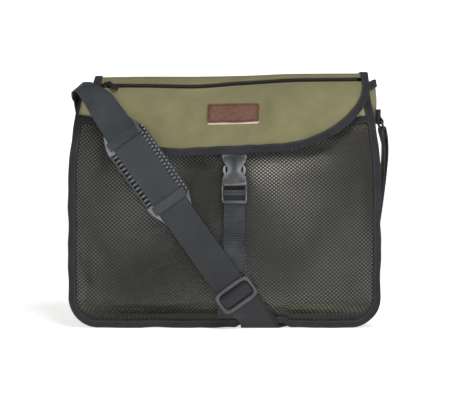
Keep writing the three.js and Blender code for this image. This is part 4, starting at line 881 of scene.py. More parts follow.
def folded_tape(name, edge, inward, through, half_gap, shown=1, slack=0):
    """Tape round an edge: its section runs in along one face, round the edge and back along the other,
    as far apart as the cloth between needs, and is carried along the edge's places. A share of its width
    may be shown where the seam is turned away, and with slack it lies dented in here and there. A row of
    stitches goes through it, seen on both its faces."""
    q = half_gap + TAPE_CLEAR + TAPE / 2
    nose = TAPE_CLEAR + TAPE / 2
    nose_run, nose_side = np.array(TAPE_NOSE).T
    run = np.r_[TAPE_INSIDE, TAPE_POINTS, -nose * nose_run]
    side = np.r_[1, np.ones(len(TAPE_POINTS)), nose_side] * q
    run, side = np.r_[run, run[::-1]], np.r_[side, -side[::-1]]
    length = np.r_[0, np.cumsum(np.linalg.norm(np.diff(edge, axis=0), axis=1))]
    dented = np.maximum(ripple(length, 0 * length, len(name) + 1, slack, SLACK_LENGTH), 0)
    wave = (ripple(length, 0 * length, len(name), **TAPE_WAVE) + dented)[:, None, None]
    shown = np.reshape(shown, (-1, 1))
    run = np.where(run > 0, run * np.ones((len(edge), 1)) * shown, run)
    grid = edge[:, None] + inward[:, None] * run[:, :, None] + through[:, None] * side[None, :, None]
    for face, way in (("front", 1), ("back", -1)):
        sewn = edge + inward * (TAPE_STITCH["inside"] * shown) + through * way * (q + TAPE / 2)
        stitch_row(f"{name}_{face}_stitches", sewn, through * way, TAPE_STITCH["pitch"],
                   TAPE_STITCH["halves"], black_thread, "binding_tape")
    return cloth_wall(name, grid + inward[:, None] * wave, TAPE, 50)


RIB_THREAD = {"pitch": 0.6, "height": 0.35}  # the threads between the ribs, as shares of the ribs' sizes
RIB_SHADE = 0.3
WEAR_PATCH = 22.2  # width of the paler and darker patches


def ribbed_material(name, dark, light, roughness, way, pitch, strength, painted_light_shade=()):
    """A woven tape or webbing: ribs across or along it as relief and shade, and a soft uneven wear in its
    colour. Where its own values call for painted light or painted shade, it has another colour."""
    woven = surface(name, Roughness=roughness, Sheen_Weight=0.03, Specular_IOR_Level=0.2)
    ribs = thread_rows(woven, way, pitch)
    threads = thread_rows(woven, "Y" if way == "X" else "X", pitch * RIB_THREAD["pitch"])
    height = add(woven, "ShaderNodeMath", {0: threads, 1: RIB_THREAD["height"], 2: ribs},
                 operation="MULTIPLY_ADD").outputs["Value"]
    shade = add(woven, "ShaderNodeMath", {0: height, 1: RIB_SHADE, 2: grain(woven, WEAR_PATCH, 4)},
                operation="MULTIPLY_ADD").outputs["Value"]
    finish(woven, shade, ((0.3, dark), (1, light)), painted_light_shade, height, strength, 0.3)
    return woven


# Grosgrain tape of black polyester: matt, with close ribs across it
black_tape = ribbed_material("black_grosgrain_tape", "#202023", "#323236", 0.85, "Y", 1.6, 0.5)


def tape_frame(edge, inside):
    """Along an edge: the way into its cloth, and the way through it."""
    along = unit(np.gradient(edge, axis=0))
    through = unit(np.cross(inside - edge, along))
    return edge, unit(np.cross(along, through)), through


seam_inward = np.stack([-seam[2], 0 * seam[2], -seam[3]], axis=1)
seam_through = np.tile(np.array([0.0, 1.0, 0.0]), (len(seam[0]), 1))
SEAM_SLACK = 0.75
# Where the front seam is turned away at the upper left: from how far below the pocket's top, share hidden
TURNED_BACK = {"below": 12, "share": 0.68}
SEAM_TAPES = (
    ("front_binding_tape", "front_binding", -front_depth(seam[1]), FRONT_STACK),
    ("back_binding_tape", "back_binding", back_depth(seam[1]), BACK_STACK),
)
turned_back = TURNED_BACK["share"] * fade(POCKET_TOP - TURNED_BACK["below"], POCKET_TOP, seam[1])
for tape_name, node, depth, stack in SEAM_TAPES:
    tape_edge = beyond_seam(seam, FLANGE, depth)
    shown = 1 - turned_back * (seam[0] < 0) * (node == "front_binding")
    seam_tape = folded_tape(tape_name, tape_edge, seam_inward, seam_through, stack, shown, SEAM_SLACK)
    dress(seam_tape, black_tape, "binding_tape", node)

POCKET_SPAN = (-1.032, 1)  # shares of the seam's half width, to the left a little beyond it
POCKET_INSIDE = 12
pocket_u = np.linspace(*POCKET_SPAN, 120)
pocket_edge, pocket_inside = [
    panel_points(pocket_u, np.full(pocket_u.shape, level), net_y, POCKET_TOP, POCKET_SAG, 0)
    for level in (POCKET_TOP, POCKET_TOP - POCKET_INSIDE)
]
pocket_tape = folded_tape("pocket_binding_tape", *tape_frame(pocket_edge, pocket_inside), NET / 2)
dress(pocket_tape, black_tape, "binding_tape", "pocket_binding")

FLAP_TAPE_CLEAR = 0.42
INSET = 0.94
HEM_INSET = 0.91
SIDE_CROWDED = 1.2  # crowds the places on the flap's sides a little towards the top
side_t = np.linspace(0, 1, 60)[1:] ** SIDE_CROWDED
hem_u = np.sin(np.linspace(-math.pi / 2, math.pi / 2, 90))[1:-1]
top_share = np.linspace(0, 1, 24)
left_top, right_top, left_in, right_in = [over_top(u, top_share, ZIP_GAP) for u in (-1, 1, -INSET, INSET)]
flap_edge = np.concatenate([
    left_top, flap_points(0 * side_t - 1, side_t), flap_points(hem_u, 0 * hem_u + 1),
    flap_points(0 * side_t + 1, side_t)[::-1], right_top[::-1],
])
flap_inside = np.concatenate([
    left_in, flap_points(0 * side_t - INSET, side_t * INSET),
    flap_points(hem_u * INSET, 0 * hem_u + HEM_INSET),
    flap_points(0 * side_t + INSET, side_t * INSET)[::-1], right_in[::-1],
])
flap_edge, flap_inward, flap_through = tape_frame(flap_edge, flap_inside)
flap_tape = folded_tape("flap_binding_tape", flap_edge - 2 * FLAP_TAPE_CLEAR * flap_inward, flap_inward,
                        flap_through, CLOTH / 2 + FLAP_TAPE_CLEAR)
dress(flap_tape, black_tape, "binding_tape", "flap_binding")

GUSSET_TAPE_CLEAR = 0.6
END_CLEAR = 3  # columns of the gusset that its end tapes leave to the seams' tapes
# Side, the gusset's last row there, and a row inside it
for side, row, inner_row in (("left", 0, 4), ("right", -1, -5)):
    end_edge, end_inside = [gusset_middle[k, END_CLEAR:-END_CLEAR] for k in (row, inner_row)]
    end_edge, end_inward, end_through = tape_frame(end_edge, end_inside)
    end_edge = end_edge - GUSSET_TAPE_CLEAR * end_inward
    end_tape = folded_tape(f"gusset_binding_{side}_tape", end_edge, end_inward, end_through,
                           CLOTH / 2 + GUSSET_TAPE_CLEAR)
    dress(end_tape, black_tape, "binding_tape", f"gusset_binding_{side}")


# Zip: a nylon coil zip along the top, its tape under the two turned cloth edges, closed to the left, with
# a moulded slider and a flat pull that lies on the flap.
ZIP_TAPE = 0.9
ZIP_TAPE_REACH = 6
ZIP_END_CLEAR = 12
ZIP_ROWS = 7
SEWN_GAP = 0.3  # between two pieces that are sewn flat together
COIL_TOOTH = {"pitch": 1.5, "half_length": 0.95, "half_width": 0.48, "half_height": 0.55, "apart": 0.62,
              "out": 0.1}
zip_half = FLAP_HALF_WIDTH - ZIP_END_CLEAR


def zip_grid(columns, reach):
    """The zip's band: places along its line, and to either side of it down the cover."""
    x = np.linspace(FLAP_CENTRE - zip_half, FLAP_CENTRE + zip_half, columns)[None]
    return cover(x, zip_drop(x) + np.linspace(-1, 1, ZIP_ROWS)[:, None] * reach)


zip_band = zip_grid(160, ZIP_TAPE_REACH)
zip_depth = CLOTH / 2 + SEWN_GAP + ZIP_TAPE / 2
zip_tape = cloth_wall("zip_tape_band", zip_band + grid_normals(zip_band) * zip_depth, ZIP_TAPE)

# Nylon, dyed black: smooth drawn teeth and a close tape, both with a soft shine
ZIP_PATCH = 3.33
zip_nylon = surface("black_zip_nylon", Roughness=0.5)
finish(zip_nylon, grain(zip_nylon, ZIP_PATCH, 2), ((0, "#141416"), (1, "#2A2A2D")))
dress(zip_tape, zip_nylon, "zip_nylon", "zip_tape")

teeth = round(2 * zip_half / COIL_TOOTH["pitch"])
tooth_grid = zip_grid(teeth, 1)
tooth_line, tooth_out = [grid[ZIP_ROWS // 2] for grid in (tooth_grid, -grid_normals(tooth_grid))]
tooth_along = unit(np.gradient(tooth_line, axis=0))
tooth_up = np.cross(tooth_out, tooth_along)
tooth_side = np.where(np.arange(teeth) % 2 == 0, 1, -1)[:, None] * COIL_TOOTH["apart"]
tooth_middle = tooth_line + tooth_up * tooth_side + tooth_out * COIL_TOOTH["out"]
zip_coil = blocks("zip_coil_teeth", tooth_middle, np.stack([tooth_up, tooth_along, tooth_out], axis=1),
                  (COIL_TOOTH["half_length"], COIL_TOOTH["half_width"], COIL_TOOTH["half_height"]))
dress(zip_coil, zip_nylon, "zip_nylon", "zip_coil")


def from_cad(node):
    """A copy of a hard CAD piece with its loose triangles joined up and its flats made whole."""
    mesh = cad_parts[node].data.copy()
    mesh.materials.clear()
    work = bmesh.new()
    work.from_mesh(mesh)
    bmesh.ops.remove_doubles(work, verts=work.verts, dist=1e-5)
    bmesh.ops.dissolve_limit(work, angle_limit=math.radians(1), verts=work.verts, edges=work.edges)
    work.to_mesh(mesh)
    work.free()
    mesh.polygons.foreach_set("use_smooth", np.ones(len(mesh.polygons), bool))
    copy = bpy.data.objects.new(node + "_moulded", mesh)
    bpy.context.collection.objects.link(copy)
    return copy


def round_edges(piece, width, segments):
    """Rounds a piece's sharp edges off by a width in millimetres."""
    rounding = piece.modifiers.new("rounded_edges", "BEVEL")
    rounding.width = width / 1000
    rounding.segments = segments
    rounding.limit_method = "ANGLE"
    rounding.angle_limit = math.radians(25)
    rounding.harden_normals = True
    return piece


# Where moulded edges get a painted highlight: how much each way of turning counts, and the turns between
# which the highlight begins and is full, to the side and then to the front
EDGE_HIGHLIGHT = {"ways": (1, 0, 0.4), "aside": (0.1, 0.7), "front": (0, -1, 0), "before": (0.05, 0.4)}


def edge_highlight_share(material):
    """The share of painted highlight on front edges: how far the surface turns to the side, or less so up
    or down, as long as it also faces the front."""
    normal = add(material, "ShaderNodeNewGeometry").outputs["Normal"]
    either = add(material, "ShaderNodeVectorMath", {0: normal}, operation="ABSOLUTE").outputs["Vector"]
    shares = []
    for way, counts, turns in ((either, "ways", "aside"), (normal, "front", "before")):
        turned = add(material, "ShaderNodeVectorMath", {0: way, 1: EDGE_HIGHLIGHT[counts]},
                     operation="DOT_PRODUCT")
        low, high = EDGE_HIGHLIGHT[turns]
        share = add(material, "ShaderNodeMapRange", {"Value": turned.outputs["Value"], 1: low, 2: high})
        shares.append(share.outputs["Result"])
    return add(material, "ShaderNodeMath", dict(enumerate(shares)), operation="MULTIPLY").outputs["Value"]


PLASTIC_PATCH = 11.1
PLASTIC_GRAIN = 0.556


def plastic_material(name, dark, light, roughness, painted_light_shade=None):
    """Moulded plastic: a slow change between two greys, and a fine even grain as relief. Its front edges may
    carry a painted highlight in a third colour."""
    plastic = surface(name, Roughness=roughness)
    painted_mark = ((edge_highlight_share(plastic), painted_light_shade),) if painted_light_shade else ()
    finish(plastic, grain(plastic, PLASTIC_PATCH, 4), ((0.3, dark), (0.7, light)), painted_mark,
           grain(plastic, PLASTIC_GRAIN, 1), 0.12, 0.1)
    return plastic


# Moulded nylon: near black, with soft lights along its rounded edges
zip_plastic = plastic_material("black_zip_plastic", "#0B0B0C", "#151517", 0.5)
ZIP_ROUNDING = 0.35
for node in ("zip_slider", "zip_pull"):
    dress(round_edges(from_cad(node), ZIP_ROUNDING, 2), zip_plastic, "black_plastic", node)


# Label: a plain patch of brown leather, glued and sewn flat on the flap's middle, its cut edge paler than
# its face.
LABEL = {"x": 10.4, "z": 256, "half_width": 30.5, "half_height": 11.5, "thickness": 1.6, "corner": 2.2}
LABEL_CUT = 1.1  # how far its lower cut edge slants out
LABEL_STITCH = {"inset": 2.2, "corner": 1.2, "pitch": 3.2, "halves": (1.0, 0.58, 0.38)}
LABEL_STEPS = (40, 20)


def flap_face(x, z, lift):
    """Places off the flap's middle part by a height, with the flap's own dents."""
    points = cover(x, fold_height(np.array(LABEL["x"])) - z)
    points[..., 1] += flap_dents(x, z)
    return points - grid_normals(points) * lift


def rounded_grid(half_width, half_height, corner, columns, rows):
    """A rounded oblong as a grid: each row is as wide as the outline at its height."""
    z = -half_height * np.cos(np.linspace(0, math.pi, rows))
    below = np.maximum(np.abs(z) - (half_height - corner), 0)
    half = half_width - corner + np.sqrt(np.maximum(corner ** 2 - below ** 2, 0))
    return np.linspace(-1, 1, columns)[None] * half[:, None], -z[:, None] + np.zeros((1, columns))


label_x, label_z = rounded_grid(LABEL["half_width"], LABEL["half_height"], LABEL["corner"], *LABEL_STEPS)
label_lifts = [CLOTH / 2 + SEWN_GAP + LABEL["thickness"], CLOTH / 2 + SEWN_GAP]
label_slant = 1 + LABEL_CUT / (2 * LABEL["half_height"])
label_under = LABEL["half_height"] - (LABEL["half_height"] - label_z) * label_slant
label_top, label_bottom = [
    flap_face(label_x + LABEL["x"], z + LABEL["z"], lift)
    for z, lift in zip((label_z, label_under), label_lifts)
]
label = slab("leather_label_patch", label_top, label_bottom)

# Smooth brown leather with a fine pebbled grain, and the pale fibre of its cut edge
LEATHER_PATCH = 4.17
PEBBLE = 0.909
FIBRE = 2
brown_leather = surface("brown_leather", Roughness=0.62, Specular_IOR_Level=0.2)
leather_place = add(brown_leather, "ShaderNodeTexCoord").outputs["Object"]
pebbles = add(brown_leather, "ShaderNodeTexVoronoi", {"Vector": leather_place, "Scale": 1000 / PEBBLE})
finish(brown_leather, grain(brown_leather, LEATHER_PATCH, 4), ((0.3, "#5D4136"), (0.75, "#735143")),
       relief=pebbles.outputs["Distance"], strength=0.25, depth=0.2)
leather_edge = surface("leather_cut_edge", Roughness=0.85)
finish(leather_edge, grain(leather_edge, FIBRE, 3), ((0, "#A89C7C"), (1, "#E2D8BC")))
dress(label, brown_leather, "label_leather", "leather_label")
label.data.materials.append(leather_edge)
label_faces = 2 * (label_x.shape[0] - 1) * (label_x.shape[1] - 1)
on_edge = np.arange(len(label.data.polygons)) >= label_faces
label.data.polygons.foreach_set("material_index", on_edge.astype(np.int32))

brown_thread = thread_material("dark_brown_thread", "#1C120E", "#2A1C17")
inset = LABEL_STITCH["inset"]
stitch_x, stitch_z = rounded_grid(LABEL["half_width"] - inset, LABEL["half_height"] - inset,
                                  LABEL_STITCH["corner"], *LABEL_STEPS)
stitch_face = flap_face(stitch_x + LABEL["x"], stitch_z + LABEL["z"], label_lifts[0])
stitch_out = -grid_normals(stitch_face)
around = [
    np.concatenate([grid[0], grid[1:, -1], grid[-1, ::-1][1:], grid[::-1, 0][1:]])
    for grid in (stitch_face, stitch_out)
]
stitch_row("label_stitches", *around, LABEL_STITCH["pitch"], LABEL_STITCH["halves"],
           brown_thread, "label_leather")


# Buckle: a side-release buckle of moulded plastic, fastened, leaning on the net below the flap. Its socket
# hangs in a webbing tab sewn under the flap; its plug is on the closure strap.
BUCKLE = {"x": 11.5, "y": -65.4, "z": 172.6, "lean": math.radians(-9)}
PRONG_FROM = 8  # above this the plug's prongs are painted pale as a highlight
SOCKET_FACE = {
    "z": (0.3, 5, 9.5, 12.5, 14.5, 17, 20.5, 27.5, 33, 35.5),
    "half": (14.2, 13.8, 12.9, 11.2, 8.8, 7.9, 8.7, 12.6, 14.4, 14.7),
}
# The socket's crowned face: its heights, where its swell is full, its rise, and its depths in the buckle
SOCKET_CROWN = {
    "z": (1.3, 34.5), "full": (9, 22), "inset": 0.95, "rise": 0.7, "front": -3.63, "back": -3,
}
socket_half = curve(SOCKET_FACE, "z", "half")


def in_buckle(y, z):
    """Places in the buckle's leaning frame, as places in the bag's."""
    y, z = np.asarray(y, float), np.asarray(z, float)
    cos, sin = math.cos(BUCKLE["lean"]), math.sin(BUCKLE["lean"])
    turned = np.stack([0 * y, y * cos - z * sin, y * sin + z * cos], axis=-1)
    return turned + np.array([BUCKLE["x"], BUCKLE["y"], BUCKLE["z"]])


# Moulded acetal: satin dark grey with a fine spark-eroded grain, a pale painted highlight on its front
# edges, and the plug's prongs painted pale as a highlight
buckle_plastic = plastic_material("grey_moulded_plastic", "#2A2B2D", "#424346", 0.3, "#D2D3D4")
prong_painted_highlight = plastic_material("plastic_prong_painted_highlight", "#7C7D7F", "#98999B", 0.28, "#C4C5C6")
BUCKLE_ROUNDING = {"buckle_socket": 0.9, "buckle_plug": 0.6}
for node, rounding_width in BUCKLE_ROUNDING.items():
    buckle_half = round_edges(from_cad(node), rounding_width, 3)
    dress(buckle_half, buckle_plastic, "black_plastic", node)
buckle_half.data.materials.append(prong_painted_highlight)
prong_middle = np.empty(3 * len(buckle_half.data.polygons), np.float32)
buckle_half.data.polygons.foreach_get("center", prong_middle)
in_prong = prong_middle[2::3] * 1000 > BUCKLE["z"] + PRONG_FROM
buckle_half.data.polygons.foreach_set("material_index", in_prong.astype(np.int32))

crown_low, crown_high = SOCKET_CROWN["z"]
crown_from, crown_to = SOCKET_CROWN["full"]
crown_columns = np.sin(np.linspace(-1, 1, 33) * math.pi / 2)
crown_u, crown_z = np.meshgrid(crown_columns, np.linspace(crown_high, crown_low, 60))
crown_x = crown_u * (socket_half(crown_z) - SOCKET_CROWN["inset"])
crown_ends = fade(crown_low, crown_from, crown_z) * fade(-crown_high, -crown_to, -crown_z)
crown_y = SOCKET_CROWN["front"] - SOCKET_CROWN["rise"] * (1 - crown_u ** 2) * crown_ends
crown_grids = [in_buckle(y, crown_z) for y in (crown_y, 0 * crown_y + SOCKET_CROWN["back"])]
for crown_grid in crown_grids:
    crown_grid[..., 0] += crown_x
dress(slab("buckle_socket_crown", *crown_grids), buckle_plastic, "black_plastic")


# Closure strap and tab: flat ribbed webbing 25 mm wide. The strap is sewn into the bottom seam, goes up the
# net behind the plug, round its bar and down again as a loose tail.
WEBBING = 1.4
WEBBING_GAP = 0.45
CLOSURE_WIDTH = 25
BAR_CLEAR = 0.35
SQUARED = 0.5
LAYER = WEBBING + WEBBING_GAP
PLUG_BAR = {"z": -9.4, "half_height": 1.8, "half_depth": 1.5, "foot": (-17.7, -21.5), "below": (1.8, -14.2)}
LUG_BAR = {"y": 3.5, "z": 43.85, "half_height": 1.35, "half_depth": 1.3}
CLOSURE_FIXED = {
    "z": (12.5, 18, 26, 34, 42, 60, 78, 106, 130, 142),
    "y": (-47.8, -51.4, -57, -60.4, -61.9, -64.1, -66.1, -67, -66.1, -65.4),
}
CLOSURE_FOOT = 2.5
TAIL_HEIGHTS = (138, 124, 106, 88, 74, 72.5, 71, 70)
TAIL_ROUND = 5
TAIL_BLUNT = 0.4  # how far the tail's end is cut short of a full round
WEBBING_COLUMNS = 9
TAB_SEWN = (245, 237, 229)
closure_y = curve(CLOSURE_FIXED, "z", "y")


def around_bar(half_depth, half_height, turns):
    """Webbing round a bar: places on a squared ellipse about its middle, at eighths of a turn."""
    angle = np.array(turns) * math.pi / 4
    cos, sin = np.cos(angle), np.sin(angle)
    y = (half_depth + BAR_CLEAR + WEBBING / 2) * np.sign(cos) * np.abs(cos) ** SQUARED
    z = (half_height + BAR_CLEAR + WEBBING / 2) * np.sign(sin) * np.abs(sin) ** SQUARED
    return y, z


def spline(rows, step):
    """Rows of numbers made finer: cubic pieces through them all by the distance between their first three
    columns, with at least one place in each step."""
    gap = np.linalg.norm(np.diff(rows[:, :3], axis=0), axis=1)
    slope = np.diff(rows, axis=0) / gap[:, None]
    same_way = slope[:-1] * slope[1:] > 0
    total = np.where(same_way, slope[:-1] + slope[1:], 1)
    tangent = np.vstack([slope[:1], np.where(same_way, 2 * slope[:-1] * slope[1:] / total, 0), slope[-1:]])
    counts = np.maximum(np.ceil(gap / step).astype(int), 2)
    i = np.repeat(np.arange(len(gap)), counts)
    k = np.concatenate([np.arange(count) / count for count in counts])
    i, k = np.r_[i, len(gap) - 1], np.r_[k, 1][:, None]
    rise = (1 - k) ** 2 * k * tangent[i] - k * k * (1 - k) * tangent[i + 1]
    return rows[i] + (rows[i + 1] - rows[i]) * k * k * (3 - 2 * k) + gap[i][:, None] * rise


def ribbon(name, middle, wide, columns):
    """Flat webbing: places along its middle, and the half width to one side of each."""
    share = np.linspace(-1, 1, columns)[None, :, None]
    return cloth_wall(name, middle[:, None] + wide[:, None] * share, WEBBING, 50)


# Nylon webbing: dark grey, woven in close ribs across it, drawn 2.8 mm apart, coarser than real, to show
grey_webbing = ribbed_material("dark_grey_webbing", "#15171A", "#414345", 0.65, "Y", 2.8, 0.9)

foot_reach = PLUG_BAR["half_depth"] + BAR_CLEAR + WEBBING / 2
foot_z = np.array(PLUG_BAR["foot"])
plug_turn_y, plug_turn_z = around_bar(PLUG_BAR["half_depth"], PLUG_BAR["half_height"], (0, 1, 2, 3, 4, 5, 6))
fixed_z = np.array(CLOSURE_FIXED["z"], float)
fixed_x = CLOSURE_FOOT + (BUCKLE["x"] - CLOSURE_FOOT) * fixed_z / fixed_z[-1]
tail_z = np.array(TAIL_HEIGHTS, float)
closure_path = np.concatenate([
    np.stack([fixed_x, np.array(CLOSURE_FIXED["y"]), fixed_z], axis=1),
    in_buckle(0 * foot_z + foot_reach + LAYER, foot_z)[::-1],
    in_buckle(plug_turn_y, PLUG_BAR["z"] + plug_turn_z),
    in_buckle(*PLUG_BAR["below"])[None],
    in_buckle(0 * foot_z + foot_reach, foot_z),
    np.stack([BUCKLE["x"] + 0 * tail_z, closure_y(tail_z) - LAYER, tail_z], axis=1),
])
closure_fine = spline(closure_path, 2.5)
to_end = np.linalg.norm(closure_fine - closure_fine[-1], axis=1) + TAIL_BLUNT
rounded = np.clip(TAIL_ROUND - to_end, 0, None)
end_half = CLOSURE_WIDTH / 2 - TAIL_ROUND + np.sqrt(TAIL_ROUND ** 2 - rounded ** 2)
half_across = end_half[:, None] * np.array([1, 0, 0])
closure = ribbon("closure_strap_webbing", closure_fine, half_across, WEBBING_COLUMNS)
dress(closure, grey_webbing, "webbing", "closure_strap")


def under_flap(layers):
    """Places of the tab's sewn part: behind the flap by its thickness and a number of layers."""
    z = np.array(TAB_SEWN, float)[:, None]
    x = BUCKLE["x"] + np.array([[-1.0, 0.0, 1.0]])
    points = cover(x, fold_height(x) - z)
    return (points + grid_normals(points) * (CLOTH / 2 + SEWN_GAP + WEBBING / 2 + layers * LAYER))[:, 1]


lug_turn_y, lug_turn_z = around_bar(LUG_BAR["half_depth"], LUG_BAR["half_height"], (4, 5, 6, 7, 8))
lug_turn = in_buckle(LUG_BAR["y"] + lug_turn_y, LUG_BAR["z"] + lug_turn_z)
tab_fine = spline(np.concatenate([under_flap(0), lug_turn, under_flap(1)[::-1]]), 2)
half_across = np.tile(np.array([CLOSURE_WIDTH / 2, 0, 0]), (len(tab_fine), 1))
buckle_tab = ribbon("buckle_tab_webbing", tab_fine, half_across, WEBBING_COLUMNS)
dress(buckle_tab, grey_webbing, "webbing", "buckle_tab")


# Shoulder strap: one length of 37 mm webbing. It goes up the left side, folds over to the front, down across
# the flap and the net through the slider, under the bottom, up the back and round to the ring at the right
# side, turns there and comes back under itself to the slider's middle bar.
STRAP_WIDTH = 37
STRAP_COLUMNS = 13
# Its painted light and shade: heights between which each begins or ends, and shares
STRAP_PAINTED_LIGHT = {"from": (120, 190), "to": (205, 245), "share": 0.28, "less": 0.7}
STRAP_PAINTED_SHADE = {"to": (10, 150), "share": 0.7}
STRAP_Y = {
    "s": (8, 20, 38, 50, 62, 74, 98, 122, 146, 170, 230, 256, 278, 302),
    "y": (-42.4, -46.4, -51.8, -57.3, -62.5, -65.6, -66.6, -67.6, -69.6, -71, -71.4, -70.8, -68.4, -66.2),
    "lean": (10.3, 8, 4.8, 3.2, 1.6, 0, 0, 0, 0, 0, 0, 0, 0, 0),
}
FRONT_STOPS = (10, 20, 32, 42, 50, 58, 66, 76, 88, 104, 120, 136, 152, 170, 200, 230, 256, 268)
SLIDER_S = 290
SLIDER_BAR = 2.25  # its middle bar above the strap's middle
# Off the line where the strap is woven through the slider: place from the slider's middle, height
WEAVE = ((-13.5, 0), (-8.6, 0), (-4.4, 6.2), (4.4, 6.2), (8.6, 0), (13.5, 0))
# Its way up the left side and over: x, y, z of its middle, then the way across it
FOLD = (
    (-180.6, 2, 214, 0, -1, 0),
    (-178.2, 2.3, 240, 0, -1, 0),
    (-177.4, 2.2, 255, -0.1, -0.99, 0),
    (-176.8, -1, 270, -0.2, -0.97, -0.05),
    (-178.4, -12, 279.8, -0.16, -0.95, -0.2),
    (-177, -23, 288, -0.18, -0.95, -0.27),
    (-169.8, -34, 289, -0.29, -0.92, -0.25),
    (-161.8, -41, 283.5, -0.47, -0.8, -0.37),
    (-155, -42, 277.5, -0.56, -0.67, -0.48),
)
# Its way from the slider round the bag to the ring, in the same columns
ROUND = (
    (28.8, -60, 21.6, -0.93, 0, -0.36),
    (35.7, -52.2, 11.8, -1, 0, 0),
    (38.6, -49.2, 7, -1, 0, 0),
    (40.6, -47.7, 2.1, -1, 0, 0),
    (43, -44.4, 0.75, -1, 0, 0),
    (72, 0, 0.75, -1, 0, 0),
    (100.4, 44, 0.75, -1, 0, 0),
    (103, 47.4, 2.1, -1, 0, 0),
    (105.6, 48.9, 6, -1, 0, 0),
    (110.5, 49.8, 13, -1, 0, 0),
    (122, 50.3, 29, -0.93, 0, 0.36),
    (139.9, 50.5, 54.6, -0.82, 0, 0.573),
    (158, 50.3, 80.5, -0.46, 0, 0.89),
    (176, 49.8, 106, 0, 0, 1),
    (186, 48.6, 120, 0, 0, 1),
    (189.1, 47.3, 124.5, 0, 0, 1),
    (190.6, 44.2, 129, 0, 0, 1),
    (192.3, 34, 146, 0, 0, 1),
    (194.8, 22, 166, 0, 0.46, 0.89),
    (197.3, 10, 193, 0, 0.92, 0.39),
    (198.2, 3.5, 214, 0, 0.97, 0.25),
    (197.2, 1.5, 227, 0, 1, 0),
)
RING = {"x": 192.5, "z": 238.5, "y": 1, "wire": 3.2}
NEAR_RING = (2.4, 3.6, 4.6)  # gap of the two layers on the last stations before the ring
SLIP = 3  # how far the inner layer lies to the right of the outer one near the slider
SLIP_ENDS = (4, 9)  # stations between which it comes back under it
# The inner layer's end round the slider's middle bar: place from that bar, height, slip to the right
SEWN_END = (
    (13.5, -1.95, SLIP),
    (9, -1.95, 1),
    (5.5, -1.6, 0),
    (2.2, SLIDER_BAR - 2.2, 0),
    (-2.2, SLIDER_BAR - 2.2, 0),
    (-3.3, SLIDER_BAR - 1.15, 0),
    (-3.3, SLIDER_BAR + 1.15, 0),
    (-2.2, SLIDER_BAR + 2.2, 0),
    (2.2, SLIDER_BAR + 2.2, 0),
)
strap_y = curve(STRAP_Y, "s", "y")
strap_lean = curve(STRAP_Y, "s", "lean")
STRAP_ACROSS = np.array([LINE["down_z"], 0, -LINE["down_x"]])


def strap_across(s):
    """The way across the strap's front run, to the lower left: near the fold it leans forward."""
    lean = -2 * strap_lean(s) / STRAP_WIDTH
    return unit(np.stack([STRAP_ACROSS[0] + 0 * s, lean, STRAP_ACROSS[2] + 0 * s], axis=-1))


def on_strap(s, a, n):
    """Places on the strap's front run: s down it, a across it to the lower left, n off its middle."""
    s, a, n = np.broadcast_arrays(np.asarray(s, float), np.asarray(a, float), np.asarray(n, float))
    slope = (strap_y(s + 1) - strap_y(s - 1)) / 2
    along = unit(np.stack([LINE["down_x"] + 0 * s, slope, LINE["down_z"] + 0 * s], axis=-1))
    face = unit(np.cross(strap_across(s), along))
    point = np.stack([LINE["x"] + LINE["down_x"] * s, strap_y(s), LINE["z"] + LINE["down_z"] * s], axis=-1)
    return point + strap_across(s) * a[..., None] + face * n[..., None]


def strap_rows():
    """Places and ways across of the whole strap in order: out to the ring, round it, and back under."""
    front_s = np.array(FRONT_STOPS, float)
    weave_from, weave_n = np.array(WEAVE, float).T
    front_run = np.concatenate([on_strap(front_s, 0, 0), on_strap(SLIDER_S + weave_from, 0, weave_n)])
    front_rows = np.hstack([front_run, strap_across(np.r_[front_s, SLIDER_S + weave_from])])
    rows = np.concatenate([np.array(FOLD, float), front_rows, np.array(ROUND, float)])
    reach = RING["wire"] / 2 + BAR_CLEAR + WEBBING / 2
    ring_end = np.array([RING["x"] + reach, RING["y"], RING["z"]])
    places = np.vstack([rows[:1, :3], rows[:, :3], ring_end])
    along = unit(places[2:] - places[:-2])
    square = np.linalg.norm(rows[:, 3:] - np.einsum("ij,ij->i", rows[:, 3:], along)[:, None] * along, axis=1)
    rows[:, 3:] /= square[:, None]
    turn = np.linspace(0, math.pi, 9)
    ring_rows = np.stack([RING["x"] + reach * np.cos(turn), RING["y"] + 0 * turn,
                          RING["z"] + reach * np.sin(turn), 0 * turn, 0 * turn + 1, 0 * turn], axis=1)
    count = len(ROUND)
    inner = rows[-count:].copy()
    face = unit(np.cross(inner[:, 3:], along[-count:]))
    depth = np.r_[np.full(count - len(NEAR_RING), LAYER), NEAR_RING]
    slip = SLIP * (1 - fade(*SLIP_ENDS, np.arange(count)))
    inner[:, :3] -= face * depth[:, None] + inner[:, 3:] * slip[:, None]
    sewn_from, sewn_n, sewn_slip = np.array(SEWN_END, float).T
    sewn = on_strap(SLIDER_S + sewn_from, -sewn_slip, sewn_n)
    sewn_rows = np.hstack([sewn, np.tile(STRAP_ACROSS, (len(sewn), 1))])
    return np.concatenate([rows, ring_rows, inner[::-1], sewn_rows])


strap_fine = spline(strap_rows(), 3)
strap_half = strap_fine[:, 3:] * STRAP_WIDTH / 2
strap = ribbon("shoulder_strap_webbing", strap_fine[:, :3], strap_half, STRAP_COLUMNS)
# Painted light on the strap's middle heights, less of it higher up, and painted shade towards the ground
strap_z = np.tile(np.repeat(strap_fine[:, 2], STRAP_COLUMNS), 2)
painted_light_less = STRAP_PAINTED_LIGHT["less"] * fade(*STRAP_PAINTED_LIGHT["to"], strap_z)
paint(strap, "painted_light", STRAP_PAINTED_LIGHT["share"] * fade(*STRAP_PAINTED_LIGHT["from"], strap_z) * (1 - painted_light_less))
paint(strap, "painted_shade", STRAP_PAINTED_SHADE["share"] * (1 - fade(*STRAP_PAINTED_SHADE["to"], strap_z)))

